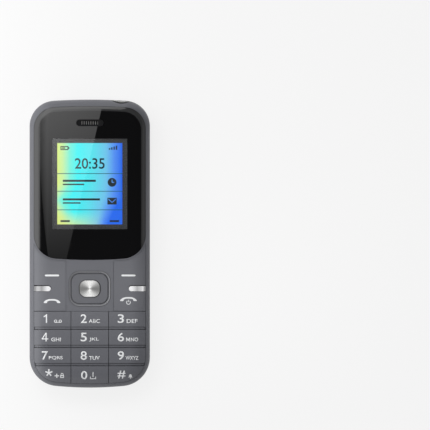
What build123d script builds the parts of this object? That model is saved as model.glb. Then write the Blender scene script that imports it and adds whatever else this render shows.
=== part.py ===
from build123d import *
from math import atan2, cos, sin, sqrt
import os

# A bar feature phone, lying on its back with its screen up.
# X runs across the keys, Y runs from the foot to the torch end, Z runs up out of the screen.
# The origin is the middle of the back face, on the surface that the phone lies on.
# All sizes are in millimetres.

# Overall body
body_width = 51.8
body_length = 124.0
back_depth = 6.4
band_height = 2.1
front_depth = 5.15
half_width = body_width / 2
half_length = body_length / 2
band_top = back_depth + band_height
face_height = band_top + front_depth

# Outline of the body seen from the front
head_corner = 11.0
foot_corner = 12.5
head_crown = 256.0
foot_crown = 150.0

# How far each rounding runs in from the outline, and how full its curve is
side_reach = 8.0
front_head_reach = 4.0
front_foot_reach = 10.0
back_head_reach = 11.0
back_foot_reach = 11.5
side_power = 2.0
front_foot_power = 2.2
back_head_power = 1.8
back_foot_power = 1.65
level_shares = (0.0, 0.3, 0.55, 0.75, 0.88, 0.95, 0.985, 1.0)

# Layers of the front, as depths under its surface
lens_proud = 0.15
lens_thickness = 1.2
mask_play = 0.02
mask_thickness = 0.06
cap_thickness = 1.2
cap_lift = 0.45
web_thickness = 0.8
web_rim = 0.5
pocket_depth = lens_thickness - lens_proud + mask_thickness + 2 * mask_play
web_depth = cap_thickness + cap_lift
skin_depth = web_depth + web_thickness

# Clearances and the overrun of every cut
overrun = 1.0
seam = 0.12
key_gap = 0.26
sliding_play = 0.2
fixed_play = 0.1
stack_play = 0.05

# Walls of the shells
cover_wall = 1.2
housing_wall = 1.9
band_wall = 1.6
band_inset = 0.08

# The panel inside the outer frame, that holds the lens and the keys
frame_side = 1.8
frame_head = 2.8
frame_foot = 1.6
lens_foot = 7.05
lens_foot_corner = 10.3
lens_foot_crown = 200.0
lens_rib = 0.6

# Display
window_width = 32.3
window_length = 39.0
window_y = 25.7
lcd_width = 34.6
lcd_length = 43.6
lcd_y = 25.0
lcd_glass_thickness = 1.5
backlight_thickness = 1.1

# Earpiece
slot_width = 11.7
slot_length = 2.9
earpiece_y = 52.0
grille_thickness = 0.7
sound_slits = 8
receiver_width = 15.0
receiver_length = 6.0
receiver_thickness = 1.4

# Keys
keys_top_y = -29.1
row_pitch = 7.83
middle_column_share = 0.3361
inner_side = half_width - frame_side
column_x = inner_side * middle_column_share
ledge_length = 1.13
ledge_drop = 0.35
stem_radius = 1.3
side_stem_inset = 8.5
side_stem_x = inner_side - side_stem_inset
foot_row_lift = 2.4

# Navigation keys between the function keys
nav_y = -19.4
bridge_half_width = 10.2
nav_width = 17.9
nav_length = 15.15
nav_corner = 4.6
nav_bevel = 1.05
ring_thickness = 1.05
ring_chamfer = 0.25
pad_thickness = 0.65
pad_margin = 1.0
pad_gap = 0.35
ok_width = 9.0
ok_length = 7.3
ok_corner = 3.0
ok_thickness = 0.95
ok_proud = 0.12
nub_radius = 0.9

# Chrome bars beside the function keys
bar_length = 7.3
bar_height = 2.2
bar_shadow = 0.3
bar_inner_x = inner_side - bar_length

# Circuit board and what is on it
board_thickness = 1.0
board_inset = housing_wall + 2 * sliding_play
board_bottom = band_top + fixed_play
board_top = board_bottom + board_thickness
film_thickness = 0.1
dome_height = 0.2
dome_radius = 2.0
small_dome_radius = 1.4
mat_margin = 2.7
mat_half_width = side_stem_x + mat_margin
mat_thickness = 0.5
mat_inset = 5.0
dome_gap = 0.45

# Rear chassis
plate_thickness = 0.9
bay_wall = 1.0
rim_wall = 0.8
plate_bottom = back_depth + fixed_play
plate_top = plate_bottom + plate_thickness
chassis_inset = housing_wall + fixed_play

# Battery
battery_width = 34.0
battery_length = 53.0
battery_thickness = 5.0
battery_y = 5.5
battery_edge = 1.0
battery_play = 0.2
battery_pads = 3
battery_bottom = plate_bottom - stack_play - battery_thickness

# Screws
screw_radius = 0.8
screw_head_radius = 1.4
screw_head_height = 0.9
screw_reach = 4.4
boss_radius = 1.8
screw_side_inset = 5.3
screw_x = half_width - screw_side_inset
head_screw_y = 48.4
waist_screw_y = 2.0
foot_screw_y = keys_top_y - 2 * row_pitch
screw_rows = (head_screw_y, waist_screw_y, foot_screw_y)
screw_places = [(side * screw_x, y) for y in screw_rows for side in (1, -1)]

# Torch at the head end
torch_side_inset = 12.5
torch_x = half_width - torch_side_inset
torch_z = 7.3
torch_radius = 5.0
torch_lens_radius = 4.1
torch_depth = 7.0
torch_lens_thickness = 2.6
reflector_depth = 3.2
reflector_throat = 1.5
reflector_wall = 0.35
torch_board_thickness = 0.8
led_radius = 1.1
led_height = 1.5
led_rounding = 0.85

# Ports at the foot end
port_half_width = 13.5
port_bottom = 4.2
port_height = 5.3
port_corner = 2.6
port_depth = 1.8
port_room = 0.8
jack_setback = port_room
jack_x = -8.0
jack_z = port_bottom + port_height / 2
jack_radius = 1.8
jack_width = 6.0
jack_length = 11.5
jack_height = 4.1
jack_nose_radius = 2.25
jack_wall = 0.5
usb_x = 8.0
usb_width = 7.6
usb_length = 5.6
usb_height = 2.5
usb_wall = 0.35
usb_tongue = 0.6
mic_radius = 2.0
mic_thickness = 1.1
mic_hole = 0.5
mic_y = -55.5

# Camera and flash behind their window
camera_side_inset = 9.4
camera_drop = 0.2
flash_spacing = 6.1
window_shift = 2.7
camera_x = half_width - camera_side_inset
flash_x = camera_x - flash_spacing
window_pill_x = camera_x - window_shift
window_pill_width = 13.35
window_pill_length = 7.3
window_pane_thickness = 0.8
camera_size = 7.4
camera_barrel_radius = 2.5
camera_ring_radius = 3.2
camera_glass_radius = 2.4
camera_body_bottom = 3.4
flash_radius = 1.2

# Loudspeaker and its grille
speaker_x = -8.8
speaker_room = 3.5
speaker_width = 17.0
speaker_length = 12.0
speaker_y = battery_y + battery_length / 2 + battery_play + bay_wall + speaker_room + speaker_length / 2
window_pill_y = speaker_y
camera_y = window_pill_y - camera_drop
speaker_corner = 4.0
speaker_height = 3.6
grille_slot_width = 15.8
grille_slot_length = 1.1
grille_pitch = 2.25
grille_slots = 3
mesh_thickness = 0.2

# Accent lines across the back
accent_head_y = 51.1
accent_foot_y = -48.6
accent_width = 0.95
accent_side_inset = 2.6
accent_taper = 2.6
accent_half_length = half_width - accent_side_inset
accent_straight = accent_half_length - accent_taper
accent_depth = 0.3

# Vibration motor
motor_x = -13.0
motor_y = -32.0
motor_radius = 2.0
motor_length = 10.0
weight_length = 3.2
shaft_radius = 0.4
weight_gap = 0.4

# Antenna
antenna_width = 34.0
antenna_length = 7.0
antenna_thickness = 2.6
antenna_y = -41.5
trace_width = 0.7
trace_height = 0.35
trace_length = 5.6
trace_pitch = 5.7
trace_count = 5
bus_length = 24.0
bus_pitch = 4.9
bus_count = 2

# Card sockets in the battery bay
card_thickness = 1.0
sim_width = 14.0
sim_length = 16.0
sim_x = 8.2
sim_y = 13.0
memory_width = 13.0
memory_length = 13.0
memory_y = -8.0
socket_wall = 0.3
slit_columns = 3
slit_rows = 2

seated = (Align.CENTER, Align.CENTER, Align.MIN)
hanging = (Align.CENTER, Align.CENTER, Align.MAX)


def fall(share, power):
    """How far a rounding has drawn in, as a share of its reach, at a share of its height."""
    return 1 - (1 - share**power) ** (1 / power)


def corner_points(reach_x, reach_y, corner, crown):
    """A round corner: where it meets the straight side, its middle, and where it meets the crown."""
    rise = sqrt((crown - corner) ** 2 - (reach_x - corner) ** 2)
    angle = atan2(rise, reach_x - corner)
    centre_y = reach_y - crown + rise
    on_side = (reach_x, centre_y)
    middle = (reach_x - corner + corner * cos(angle / 2), centre_y + corner * sin(angle / 2))
    on_crown = (crown * cos(angle), reach_y - crown + crown * sin(angle))
    return on_side, middle, on_crown


def rounded_level(height, reach_x, head, foot, corners, crowns=(head_crown, foot_crown)):
    """One level of the body: straight sides, crowned ends and four round corners."""
    side_a, bend_a, crown_a = corner_points(reach_x, head, corners[0], crowns[0])
    side_b, bend_b, crown_b = corner_points(reach_x, foot, corners[1], crowns[1])
    with BuildSketch(Plane.XY.offset(height)) as level:
        with BuildLine():
            Line((side_b[0], -side_b[1]), side_a)
            ThreePointArc(side_a, bend_a, crown_a)
            ThreePointArc(crown_a, (0, head), (-crown_a[0], crown_a[1]))
            ThreePointArc((-crown_a[0], crown_a[1]), (-bend_a[0], bend_a[1]), (-side_a[0], side_a[1]))
            Line((-side_a[0], side_a[1]), (-side_b[0], -side_b[1]))
            ThreePointArc((-side_b[0], -side_b[1]), (-bend_b[0], -bend_b[1]), (-crown_b[0], -crown_b[1]))
            ThreePointArc((-crown_b[0], -crown_b[1]), (0, -foot), (crown_b[0], -crown_b[1]))
            ThreePointArc((crown_b[0], -crown_b[1]), (bend_b[0], -bend_b[1]), (side_b[0], -side_b[1]))
        make_face()
    return level.sketch


def form(inset, rim, way, depth, head_reach, foot_reach, head_power, foot_power):
    """One half of the body as a solid, set in all round, from its rim up or down to its flat face."""
    levels = []
    for share in level_shares:
        side = inset + (side_reach - inset) * fall(share, side_power)
        head = inset + (head_reach - inset) * fall(share, head_power)
        foot = inset + (foot_reach - inset) * fall(share, foot_power)
        levels.append(
            rounded_level(
                rim + way * (depth - inset) * share,
                half_width - side,
                half_length - head,
                half_length - foot,
                (head_corner - side, foot_corner - side),
            )
        )
    with BuildPart() as half:
        loft(sections=levels)
    return half.part


def front_form(inset):
    """The front of the body, from the side band up to its face."""
    reaches = (front_head_reach, front_foot_reach)
    return form(inset, band_top, 1, front_depth, *reaches, side_power, front_foot_power)


def back_form(inset):
    """The back of the body, from the side band down to the flat that it lies on."""
    reaches = (back_head_reach, back_foot_reach)
    return form(inset, back_depth, -1, back_depth, *reaches, back_head_power, back_foot_power)


def body_slab(bottom, top, inset):
    """A straight-sided slab with the body's outline, set in all round."""
    with BuildPart() as slab:
        add(
            rounded_level(
                bottom,
                half_width - inset,
                half_length - inset,
                half_length - inset,
                (head_corner - inset, foot_corner - inset),
            )
        )
        extrude(amount=top - bottom)
    return slab.part


def panel_prism(gap):
    """The panel inside the outer frame, drawn in by a gap, as a tall prism."""
    inset = frame_side + gap
    with BuildPart() as prism:
        add(
            rounded_level(
                band_top - overrun,
                half_width - inset,
                half_length - frame_head - gap,
                half_length - frame_foot - gap,
                (head_corner - inset, foot_corner - inset),
            )
        )
        extrude(amount=front_depth + 3 * overrun)
    return prism.part


def lens_prism(gap):
    """The outline of the lens, drawn in by a gap, as a tall prism."""
    inset = frame_side + gap
    with BuildPart() as prism:
        add(
            rounded_level(
                band_top - overrun,
                half_width - inset,
                half_length - frame_head - gap,
                lens_foot - gap,
                (head_corner - inset, lens_foot_corner - gap),
                (head_crown, lens_foot_crown),
            )
        )
        extrude(amount=front_depth + 3 * overrun)
    return prism.part


def zone(left, right, lower, upper):
    """A tall box over a piece of the front, given by its edges."""
    with BuildPart(Plane.XY.offset(band_top - overrun)) as tall:
        with Locations(((left + right) / 2, (lower + upper) / 2)):
            Box(right - left, upper - lower, front_depth + 3 * overrun, align=seated)
    return tall.part


def raised_form(inset, least):
    """The front set in all round, but nowhere lower than a height."""
    with BuildPart() as raised:
        add(body_slab(band_top - overrun, least, -overrun))
        add(front_form(inset))
    return raised.part


# The forms of the front, each at its own depth under the surface
room_top = board_top + fixed_play
web_edge = room_top + web_rim
face_form = front_form(0)
web_floor = front_form(skin_depth)
with BuildPart() as key_skin:
    add(face_form)
    add(raised_form(cap_thickness, web_edge + cap_lift), mode=Mode.SUBTRACT)

# Heights that follow from the layers
web_top_height = face_height - web_depth
web_floor_height = face_height - skin_depth
pocket_height = face_height - pocket_depth
dome_top = board_top + film_thickness + dome_height
stem_bottom = dome_top + dome_gap
mat_bottom = dome_top + fixed_play
mouth_y = -half_length + port_half_width**2 / (2 * foot_crown) + fixed_play
block_start_y = -half_length + port_depth + jack_setback
jack_room = 2 * (half_length + block_start_y + jack_length + sliding_play)
torch_room = 2 * (torch_depth + torch_board_thickness + fixed_play)

# Where each key stands, from its left, right, lower and upper edges
key_names = (
    ("key_1", "key_2", "key_3"),
    ("key_4", "key_5", "key_6"),
    ("key_7", "key_8", "key_9"),
    ("key_star", "key_0", "key_hash"),
)
column_edges = ((-inner_side, -column_x), (-column_x, column_x), (column_x, inner_side))
row_count = len(key_names)
row_edges = [(keys_top_y - (row + 1) * row_pitch, keys_top_y - row * row_pitch) for row in range(row_count)]
stem_columns = (-side_stem_x, 0, side_stem_x)
stem_lifts = (ledge_length / 2, ledge_length / 2, ledge_length / 2, foot_row_lift)
stem_places = [
    [(x, (lower + upper) / 2 + lift) for x in stem_columns]
    for (lower, upper), lift in zip(row_edges, stem_lifts)
]
function_stems_y = (nav_y + nav_length / 2 - stem_radius, nav_y - nav_length / 2 + stem_radius)
nub_places = (
    (0, nav_y + ok_length / 2 + nub_radius),
    (0, nav_y - ok_length / 2 - nub_radius),
    (ok_width / 2 + nub_radius, nav_y),
    (-ok_width / 2 - nub_radius, nav_y),
)


def function_zone(side, gap):
    """Where a function key lies, at one side of the bridge, drawn in by a gap."""
    with BuildPart() as area:
        add(panel_prism(gap))
        add(
            zone(
                min(side * (bridge_half_width + gap), side * body_width),
                max(side * (bridge_half_width + gap), side * body_width),
                keys_top_y + gap,
                half_length,
            ),
            mode=Mode.INTERSECT,
        )
        add(lens_prism(-lens_rib - gap), mode=Mode.SUBTRACT)
    return area.part


# Tools for the openings at the two ends, that cut every shell of the body
with BuildPart() as port_block:
    with BuildSketch(Plane.XZ.offset(half_length - port_depth)):
        with Locations((0, port_bottom + port_height / 2)):
            RectangleRounded(2 * port_half_width, port_height, port_corner)
    extrude(amount=port_depth + overrun)

with BuildPart() as port_cut:
    with BuildSketch(Plane.XZ.offset(half_length - port_depth - port_room)):
        with Locations((0, port_bottom + port_height / 2)):
            RectangleRounded(
                2 * (port_half_width + fixed_play), port_height + 2 * fixed_play, port_corner + fixed_play
            )
    extrude(amount=port_depth + port_room + overrun)

with BuildPart() as torch_cut:
    with BuildSketch(Plane.XZ.offset(-half_length + torch_depth)):
        with Locations((torch_x, torch_z)):
            Circle(torch_radius + fixed_play)
    extrude(amount=-torch_depth - overrun)

# The front housing: a skin with a pocket for the lens, one for the keys, and a web under them
with BuildPart() as lens_pocket:
    add(lens_prism(0))
    add(front_form(pocket_depth), mode=Mode.SUBTRACT)

with BuildPart() as key_pocket:
    add(panel_prism(0))
    add(zone(-half_width, half_width, -half_length, keys_top_y), mode=Mode.INTERSECT)
    add(function_zone(1, 0))
    add(function_zone(-1, 0))
    add(raised_form(web_depth, web_edge), mode=Mode.SUBTRACT)

with BuildPart() as front_housing:
    add(face_form)
    add(web_floor, mode=Mode.SUBTRACT)
    add(body_slab(band_top - overrun, room_top, housing_wall), mode=Mode.SUBTRACT)
    add(lens_pocket.part, mode=Mode.SUBTRACT)
    add(key_pocket.part, mode=Mode.SUBTRACT)
    with BuildSketch(Plane.XY.offset(web_floor_height - overrun)):
        with Locations((0, lcd_y)):
            Rectangle(lcd_width + 4 * fixed_play, lcd_length + 4 * fixed_play)
        with Locations((0, earpiece_y)):
            SlotOverall(slot_width - slot_length, slot_length / 2)
    extrude(amount=front_depth, mode=Mode.SUBTRACT)
    with BuildSketch(Plane.XY.offset(web_top_height)):
        with Locations((0, nav_y)):
            RectangleRounded(nav_width + 2 * seam, nav_length + 2 * seam, nav_corner + seam)
    extrude(amount=front_depth, mode=Mode.SUBTRACT)
    with BuildSketch(Plane.XY.offset(web_floor_height - overrun)):
        with Locations((0, nav_y)):
            Rectangle(
                nav_width - 2 * nav_bevel - 2 * pad_margin + 2 * sliding_play,
                nav_length - 2 * nav_bevel - 2 * pad_margin + 2 * sliding_play,
            )
        with Locations(*[place for row in stem_places for place in row]):
            Circle(stem_radius + sliding_play)
        with Locations(*[(side * side_stem_x, y) for side in (1, -1) for y in function_stems_y]):
            Circle(stem_radius + sliding_play)
    extrude(amount=web_thickness + 2 * overrun, mode=Mode.SUBTRACT)
    with BuildSketch(Plane.XY.offset(board_top + stack_play)):
        with Locations(*screw_places):
            Circle(boss_radius)
    extrude(amount=web_floor_height - board_top - stack_play)
    with BuildSketch(Plane.XY.offset(board_top)):
        with Locations(*screw_places):
            Circle(screw_radius + stack_play)
    extrude(amount=web_floor_height - board_top, mode=Mode.SUBTRACT)
    add(port_cut.part, mode=Mode.SUBTRACT)
    add(torch_cut.part, mode=Mode.SUBTRACT)
front_housing.part.label = "front_housing"

# The clear lens over the display, with the earpiece slot through it
with BuildPart() as display_lens:
    add(front_form(-lens_proud))
    add(lens_prism(seam), mode=Mode.INTERSECT)
    add(front_form(lens_thickness - lens_proud), mode=Mode.SUBTRACT)
    with BuildSketch(Plane.XY.offset(pocket_height)):
        with Locations((0, earpiece_y)):
            SlotOverall(slot_width, slot_length)
    extrude(amount=front_depth, mode=Mode.SUBTRACT)
display_lens.part.label = "display_lens"

# The black print under the lens, a film with a window for the display
with BuildPart() as lens_mask:
    add(front_form(lens_thickness - lens_proud + mask_play))
    add(lens_prism(seam + key_gap), mode=Mode.INTERSECT)
    add(front_form(pocket_depth - mask_play), mode=Mode.SUBTRACT)
    with BuildSketch(Plane.XY.offset(pocket_height - overrun)):
        with Locations((0, window_y)):
            Rectangle(window_width, window_length)
        with Locations((0, earpiece_y)):
            SlotOverall(slot_width, slot_length)
    extrude(amount=front_depth, mode=Mode.SUBTRACT)
lens_mask.part.label = "lens_mask"

# The earpiece grille, a pill with a row of sound slits, seated on the floor of the lens pocket
with BuildPart() as earpiece_grille:
    with BuildSketch(Plane.XY.offset(pocket_height)):
        with Locations((0, earpiece_y)):
            SlotOverall(slot_width - 2 * fixed_play, slot_length - 2 * fixed_play)
        with Locations((0, earpiece_y)):
            with GridLocations(slot_length / 3, 0, sound_slits, 1):
                Rectangle(slot_length / 8, slot_length / 2, mode=Mode.SUBTRACT)
    extrude(amount=grille_thickness)
earpiece_grille.part.label = "earpiece_grille"

# The earpiece receiver under the housing
with BuildPart(Plane.XY.offset(web_floor_height - stack_play)) as earpiece_receiver:
    with Locations((0, earpiece_y)):
        Box(receiver_width, receiver_length, receiver_thickness, align=hanging)
    fillet(earpiece_receiver.edges().filter_by(Axis.Z), receiver_length / 4)
    with Locations((0, earpiece_y)):
        Box(
            slot_width - slot_length,
            slot_length / 2,
            receiver_thickness / 4,
            align=hanging,
            mode=Mode.SUBTRACT,
        )
earpiece_receiver.part.label = "earpiece_receiver"

# Display panel and its backlight, stuck on the board
backlight_bottom = board_top + stack_play
glass_bottom = backlight_bottom + backlight_thickness
with BuildPart(Plane.XY.offset(backlight_bottom)) as lcd_backlight:
    with Locations((0, lcd_y)):
        Box(lcd_width, lcd_length, backlight_thickness, align=seated)
    fillet(lcd_backlight.edges().filter_by(Axis.Z), backlight_thickness / 2)
lcd_backlight.part.label = "lcd_backlight"

with BuildPart(Plane.XY.offset(glass_bottom)) as lcd_glass:
    with Locations((0, lcd_y)):
        Box(
            lcd_width - 2 * socket_wall,
            lcd_length - 2 * socket_wall,
            lcd_glass_thickness,
            align=seated,
        )
    chamfer(lcd_glass.faces().sort_by(Axis.Z)[-1].edges(), socket_wall / 3)
lcd_glass.part.label = "lcd_glass"

# The display's flexible tail, from its foot down to its connector on the board
tail_width = lcd_width / 3
tail_length = 7.0
tail_thickness = 0.15
connector_height = 0.7
lcd_foot_y = lcd_y - lcd_length / 2
with BuildPart(Plane.XY.offset(board_top + stack_play)) as lcd_flex:
    with Locations((0, lcd_foot_y - fixed_play - tail_length / 2)):
        Box(tail_width, tail_length, tail_thickness, align=seated)
    with Locations((0, lcd_foot_y - fixed_play - tail_length + connector_height)):
        Box(tail_width + connector_height, 2 * connector_height, connector_height, align=seated)
    with Locations((0, lcd_foot_y - fixed_play - tail_thickness / 2)):
        Box(tail_width, tail_thickness, backlight_thickness, align=seated)
lcd_flex.part.label = "lcd_flex"

# The main board, with room for the torch, the audio jack, the camera and the screws
camera_room = camera_size + 2 * sliding_play
with BuildPart() as main_pcb:
    add(body_slab(board_bottom, board_top, board_inset))
    with BuildSketch(Plane.XY.offset(board_bottom)):
        with Locations((torch_x, half_length)):
            Rectangle(2 * (torch_radius + sliding_play), torch_room)
        with Locations((jack_x, -half_length)):
            Rectangle(jack_width + 2 * sliding_play, jack_room)
        with Locations(*screw_places):
            Circle(screw_radius + sliding_play)
    extrude(amount=board_thickness, mode=Mode.SUBTRACT)
main_pcb.part.label = "main_pcb"

# The film of metal domes that the keys press on
dome_places = [place for row in stem_places for place in row]
dome_places += [(side * side_stem_x, y) for side in (1, -1) for y in function_stems_y]
sheet_head_y = max(function_stems_y) + dome_radius + fixed_play
sheet_foot_y = min(place[1] for place in dome_places) - dome_radius - fixed_play
with BuildPart() as dome_sheet:
    with BuildSketch(Plane.XY.offset(board_top)):
        with Locations((0, (sheet_head_y + sheet_foot_y) / 2)):
            RectangleRounded(2 * mat_half_width, sheet_head_y - sheet_foot_y, dome_radius)
    extrude(amount=film_thickness)
    with BuildSketch(Plane.XY.offset(board_top + film_thickness)):
        with Locations(*dome_places):
            Circle(dome_radius)
        with Locations((0, nav_y)):
            Circle(dome_radius)
        with Locations(*nub_places):
            Circle(small_dome_radius)
    extrude(amount=dome_height, taper=45)
    add(body_slab(board_top, board_top + film_thickness + dome_height, mat_inset), mode=Mode.INTERSECT)
dome_sheet.part.label = "dome_sheet"

# The silicone mat between the domes and the housing web, open round every stem
with BuildPart() as keymat:
    with BuildSketch(Plane.XY.offset(mat_bottom)):
        with Locations((0, (sheet_head_y + sheet_foot_y) / 2)):
            RectangleRounded(2 * mat_half_width, sheet_head_y - sheet_foot_y, dome_radius)
        with Locations(*dome_places):
            Circle(stem_radius + sliding_play, mode=Mode.SUBTRACT)
        with Locations((0, nav_y)):
            RectangleRounded(
                nav_width - 2 * nav_bevel, nav_length - 2 * nav_bevel, nav_corner, mode=Mode.SUBTRACT
            )
    extrude(amount=mat_thickness)
    add(body_slab(mat_bottom, mat_bottom + mat_thickness, mat_inset), mode=Mode.INTERSECT)
keymat.part.label = "keymat"

# The twelve number keys: a cap with a lowered ledge at its foot, and a stem
ledge_skin = front_form(ledge_drop)


def ledge_tool(left, right, lower):
    """What is taken off the foot of a key to lower its ledge."""
    with BuildPart() as tool:
        add(zone(left, right, lower, lower + ledge_length))
        add(ledge_skin, mode=Mode.SUBTRACT)
    return tool.part


keys = {}
for row, (lower, upper) in enumerate(row_edges):
    for column, (left, right) in enumerate(column_edges):
        with BuildPart() as key:
            add(key_skin.part)
            add(
                zone(left + key_gap / 2, right - key_gap / 2, lower + key_gap / 2, upper - key_gap / 2),
                mode=Mode.INTERSECT,
            )
            if column != 1 or row == 3:
                add(panel_prism(seam), mode=Mode.INTERSECT)
            if row < 3:
                add(ledge_tool(left, right, lower), mode=Mode.SUBTRACT)
            with BuildSketch(Plane.XY.offset(stem_bottom)):
                with Locations(stem_places[row][column]):
                    Circle(stem_radius)
            extrude(amount=face_height - cap_thickness / 2 - ledge_drop - stem_bottom)
        key.part.label = key_names[row][column]
        keys[key.part.label] = key.part

# The two function keys: each rocks about its chrome bar, from its soft key to its call key
function_keys = {}
chrome_bars = {}
for side, name in ((-1, "left"), (1, "right")):
    bar_x = side * (bar_inner_x + bar_length / 2)
    with BuildPart() as rocker:
        add(key_skin.part)
        add(function_zone(side, seam), mode=Mode.INTERSECT)
        with BuildSketch(Plane.XY.offset(band_top - overrun)):
            with Locations((bar_x + side * bar_length / 2, nav_y + bar_shadow / 2)):
                SlotOverall(2 * (bar_length + seam) + seam, bar_height + bar_shadow + 2 * seam)
        extrude(amount=front_depth + 2 * overrun, mode=Mode.SUBTRACT)
        with BuildSketch(Plane.XY.offset(stem_bottom)):
            with Locations(*[(side * side_stem_x, y) for y in function_stems_y]):
                Circle(stem_radius)
        extrude(amount=face_height - cap_thickness / 2 - stem_bottom)
    rocker.part.label = name + "_function_key"
    function_keys[rocker.part.label] = rocker.part

    with BuildPart() as bar:
        add(face_form)
        add(raised_form(web_depth - stack_play, web_edge + stack_play), mode=Mode.SUBTRACT)
        with BuildSketch(Plane.XY.offset(band_top - overrun)):
            with Locations((bar_x + side * bar_length / 2, nav_y)):
                SlotOverall(2 * bar_length, bar_height)
        extrude(amount=front_depth + 2 * overrun, mode=Mode.INTERSECT)
        add(panel_prism(seam), mode=Mode.INTERSECT)
    bar.part.label = name + "_chrome_bar"
    chrome_bars[bar.part.label] = bar.part

# The bevelled frame round the navigation ring, seated on the web
with BuildPart() as nav_bezel:
    with BuildSketch(Plane.XY.offset(web_top_height)):
        with Locations((0, nav_y)):
            RectangleRounded(nav_width, nav_length, nav_corner)
    extrude(amount=web_depth)
    with BuildSketch(Plane.XY.offset(web_top_height)):
        with Locations((0, nav_y)):
            RectangleRounded(
                nav_width - 2 * nav_bevel + 2 * seam,
                nav_length - 2 * nav_bevel + 2 * seam,
                nav_corner - nav_bevel + seam,
            )
    extrude(amount=web_depth, mode=Mode.SUBTRACT)
    chamfer(
        nav_bezel.faces().sort_by(Axis.Z)[-1].inner_wires()[0].edges(), nav_bevel * 2 / 3
    )
nav_bezel.part.label = "nav_bezel"

# The navigation keys: a pad that rocks up and down, the ring on it that rocks sideways, and the OK key
pad_top = web_top_height + pad_gap / 2
ring_bottom = pad_top + pad_gap
ring_width = nav_width - 2 * nav_bevel - seam
ring_length = nav_length - 2 * nav_bevel - seam
pad_width_inside = nav_width - 2 * (nav_bevel + pad_margin)
pad_length_inside = nav_length - 2 * (nav_bevel + pad_margin)
with BuildPart() as nav_pad:
    with BuildSketch(Plane.XY.offset(pad_top - pad_thickness)):
        with Locations((0, nav_y)):
            Rectangle(pad_width_inside, pad_length_inside)
    extrude(amount=pad_thickness)
    with BuildSketch(Plane.XY.offset(stem_bottom)):
        with Locations(*nub_places):
            Circle(nub_radius)
    extrude(amount=pad_top - pad_thickness / 2 - stem_bottom)
    with BuildSketch(Plane.XY.offset(stem_bottom)):
        with Locations((0, nav_y)):
            Circle(stem_radius + 2 * sliding_play)
    extrude(amount=pad_top - stem_bottom, mode=Mode.SUBTRACT)
nav_pad.part.label = "nav_pad"

with BuildPart() as nav_ring:
    with BuildSketch(Plane.XY.offset(ring_bottom)):
        with Locations((0, nav_y)):
            RectangleRounded(ring_width, ring_length, nav_corner - nav_bevel)
    extrude(amount=ring_thickness)
    chamfer(nav_ring.faces().sort_by(Axis.Z)[-1].edges(), ring_chamfer)
    with BuildSketch(Plane.XY.offset(ring_bottom)):
        with Locations((0, nav_y)):
            RectangleRounded(
                ok_width + 2 * sliding_play, ok_length + 2 * sliding_play, ok_corner + sliding_play
            )
    extrude(amount=ring_thickness, mode=Mode.SUBTRACT)
nav_ring.part.label = "nav_ring"

ok_top = face_height + ok_proud
with BuildPart() as ok_key:
    with BuildSketch(Plane.XY.offset(ok_top - ok_thickness)):
        with Locations((0, nav_y)):
            RectangleRounded(ok_width, ok_length, ok_corner)
    extrude(amount=ok_thickness)
    chamfer(ok_key.faces().sort_by(Axis.Z)[-1].edges(), ring_chamfer)
    with BuildSketch(Plane.XY.offset(stem_bottom)):
        with Locations((0, nav_y)):
            Circle(stem_radius)
    extrude(amount=ok_top - ok_thickness / 2 - stem_bottom)
ok_key.part.label = "ok_key"

# The gloss band between the shells, in two lengths from the torch to the ports
side_bands = {}
for side, name in ((-1, "left"), (1, "right")):
    with BuildPart() as band:
        add(body_slab(back_depth, band_top, band_inset))
        add(body_slab(back_depth, band_top, band_wall), mode=Mode.SUBTRACT)
        add(torch_cut.part, mode=Mode.SUBTRACT)
        add(port_cut.part, mode=Mode.SUBTRACT)
    halves = band.part.solids().sort_by(Axis.X)
    half = halves[0] if side < 0 else halves[-1]
    with BuildPart() as length:
        add(half)
    length.part.label = name + "_side_band"
    side_bands[length.part.label] = length.part

# The port surround at the foot end
with BuildPart() as envelope:
    add(back_form(0))
    add(body_slab(back_depth, band_top, 0))
    add(face_form)

with BuildPart() as port_bezel:
    add(envelope.part)
    add(port_block.part, mode=Mode.INTERSECT)
    with BuildSketch(Plane.XZ.offset(half_length - port_depth - overrun)):
        with Locations((jack_x, jack_z)):
            Circle(jack_nose_radius + stack_play)
        with Locations((usb_x, board_bottom - stack_play - usb_height / 2)):
            RectangleRounded(usb_width + 2 * stack_play, usb_height + 2 * stack_play, usb_height / 3)
        with Locations((0, jack_z)):
            Circle(mic_hole)
    extrude(amount=port_depth + 2 * overrun, mode=Mode.SUBTRACT)
port_bezel.part.label = "port_bezel"

# The audio jack, a block with its nose in the port surround and a bore for the plug
with BuildPart() as audio_jack:
    with BuildSketch(Plane.XZ.offset(-block_start_y)):
        with Locations((jack_x, jack_z)):
            RectangleRounded(jack_width, jack_height, jack_height / 8)
    extrude(amount=-jack_length)
    with BuildSketch(Plane.XZ.offset(-block_start_y)):
        with Locations((jack_x, jack_z)):
            Circle(jack_nose_radius)
    extrude(amount=block_start_y - mouth_y)
    with BuildSketch(Plane.XZ.offset(-mouth_y)):
        with Locations((jack_x, jack_z)):
            Circle(jack_radius)
    extrude(amount=mouth_y - block_start_y - jack_length + jack_wall, mode=Mode.SUBTRACT)
audio_jack.part.label = "audio_jack"

# The charging socket: a folded steel shell round a tongue
with BuildPart() as usb_socket:
    with BuildSketch(Plane.XZ.offset(-mouth_y)):
        with Locations((usb_x, board_bottom - stack_play - usb_height / 2)):
            RectangleRounded(usb_width, usb_height, usb_height / 3)
    extrude(amount=-usb_length)
    with BuildSketch(Plane.XZ.offset(-mouth_y)):
        with Locations((usb_x, board_bottom - stack_play - usb_height / 2)):
            RectangleRounded(
                usb_width - 2 * usb_wall, usb_height - 2 * usb_wall, usb_height / 3 - usb_wall
            )
        with Locations((usb_x, board_bottom - stack_play - usb_height / 2 + usb_tongue / 2)):
            Rectangle(usb_width / 2, usb_tongue, mode=Mode.SUBTRACT)
    extrude(amount=-usb_length + usb_wall, mode=Mode.SUBTRACT)
usb_socket.part.label = "usb_socket"

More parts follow.
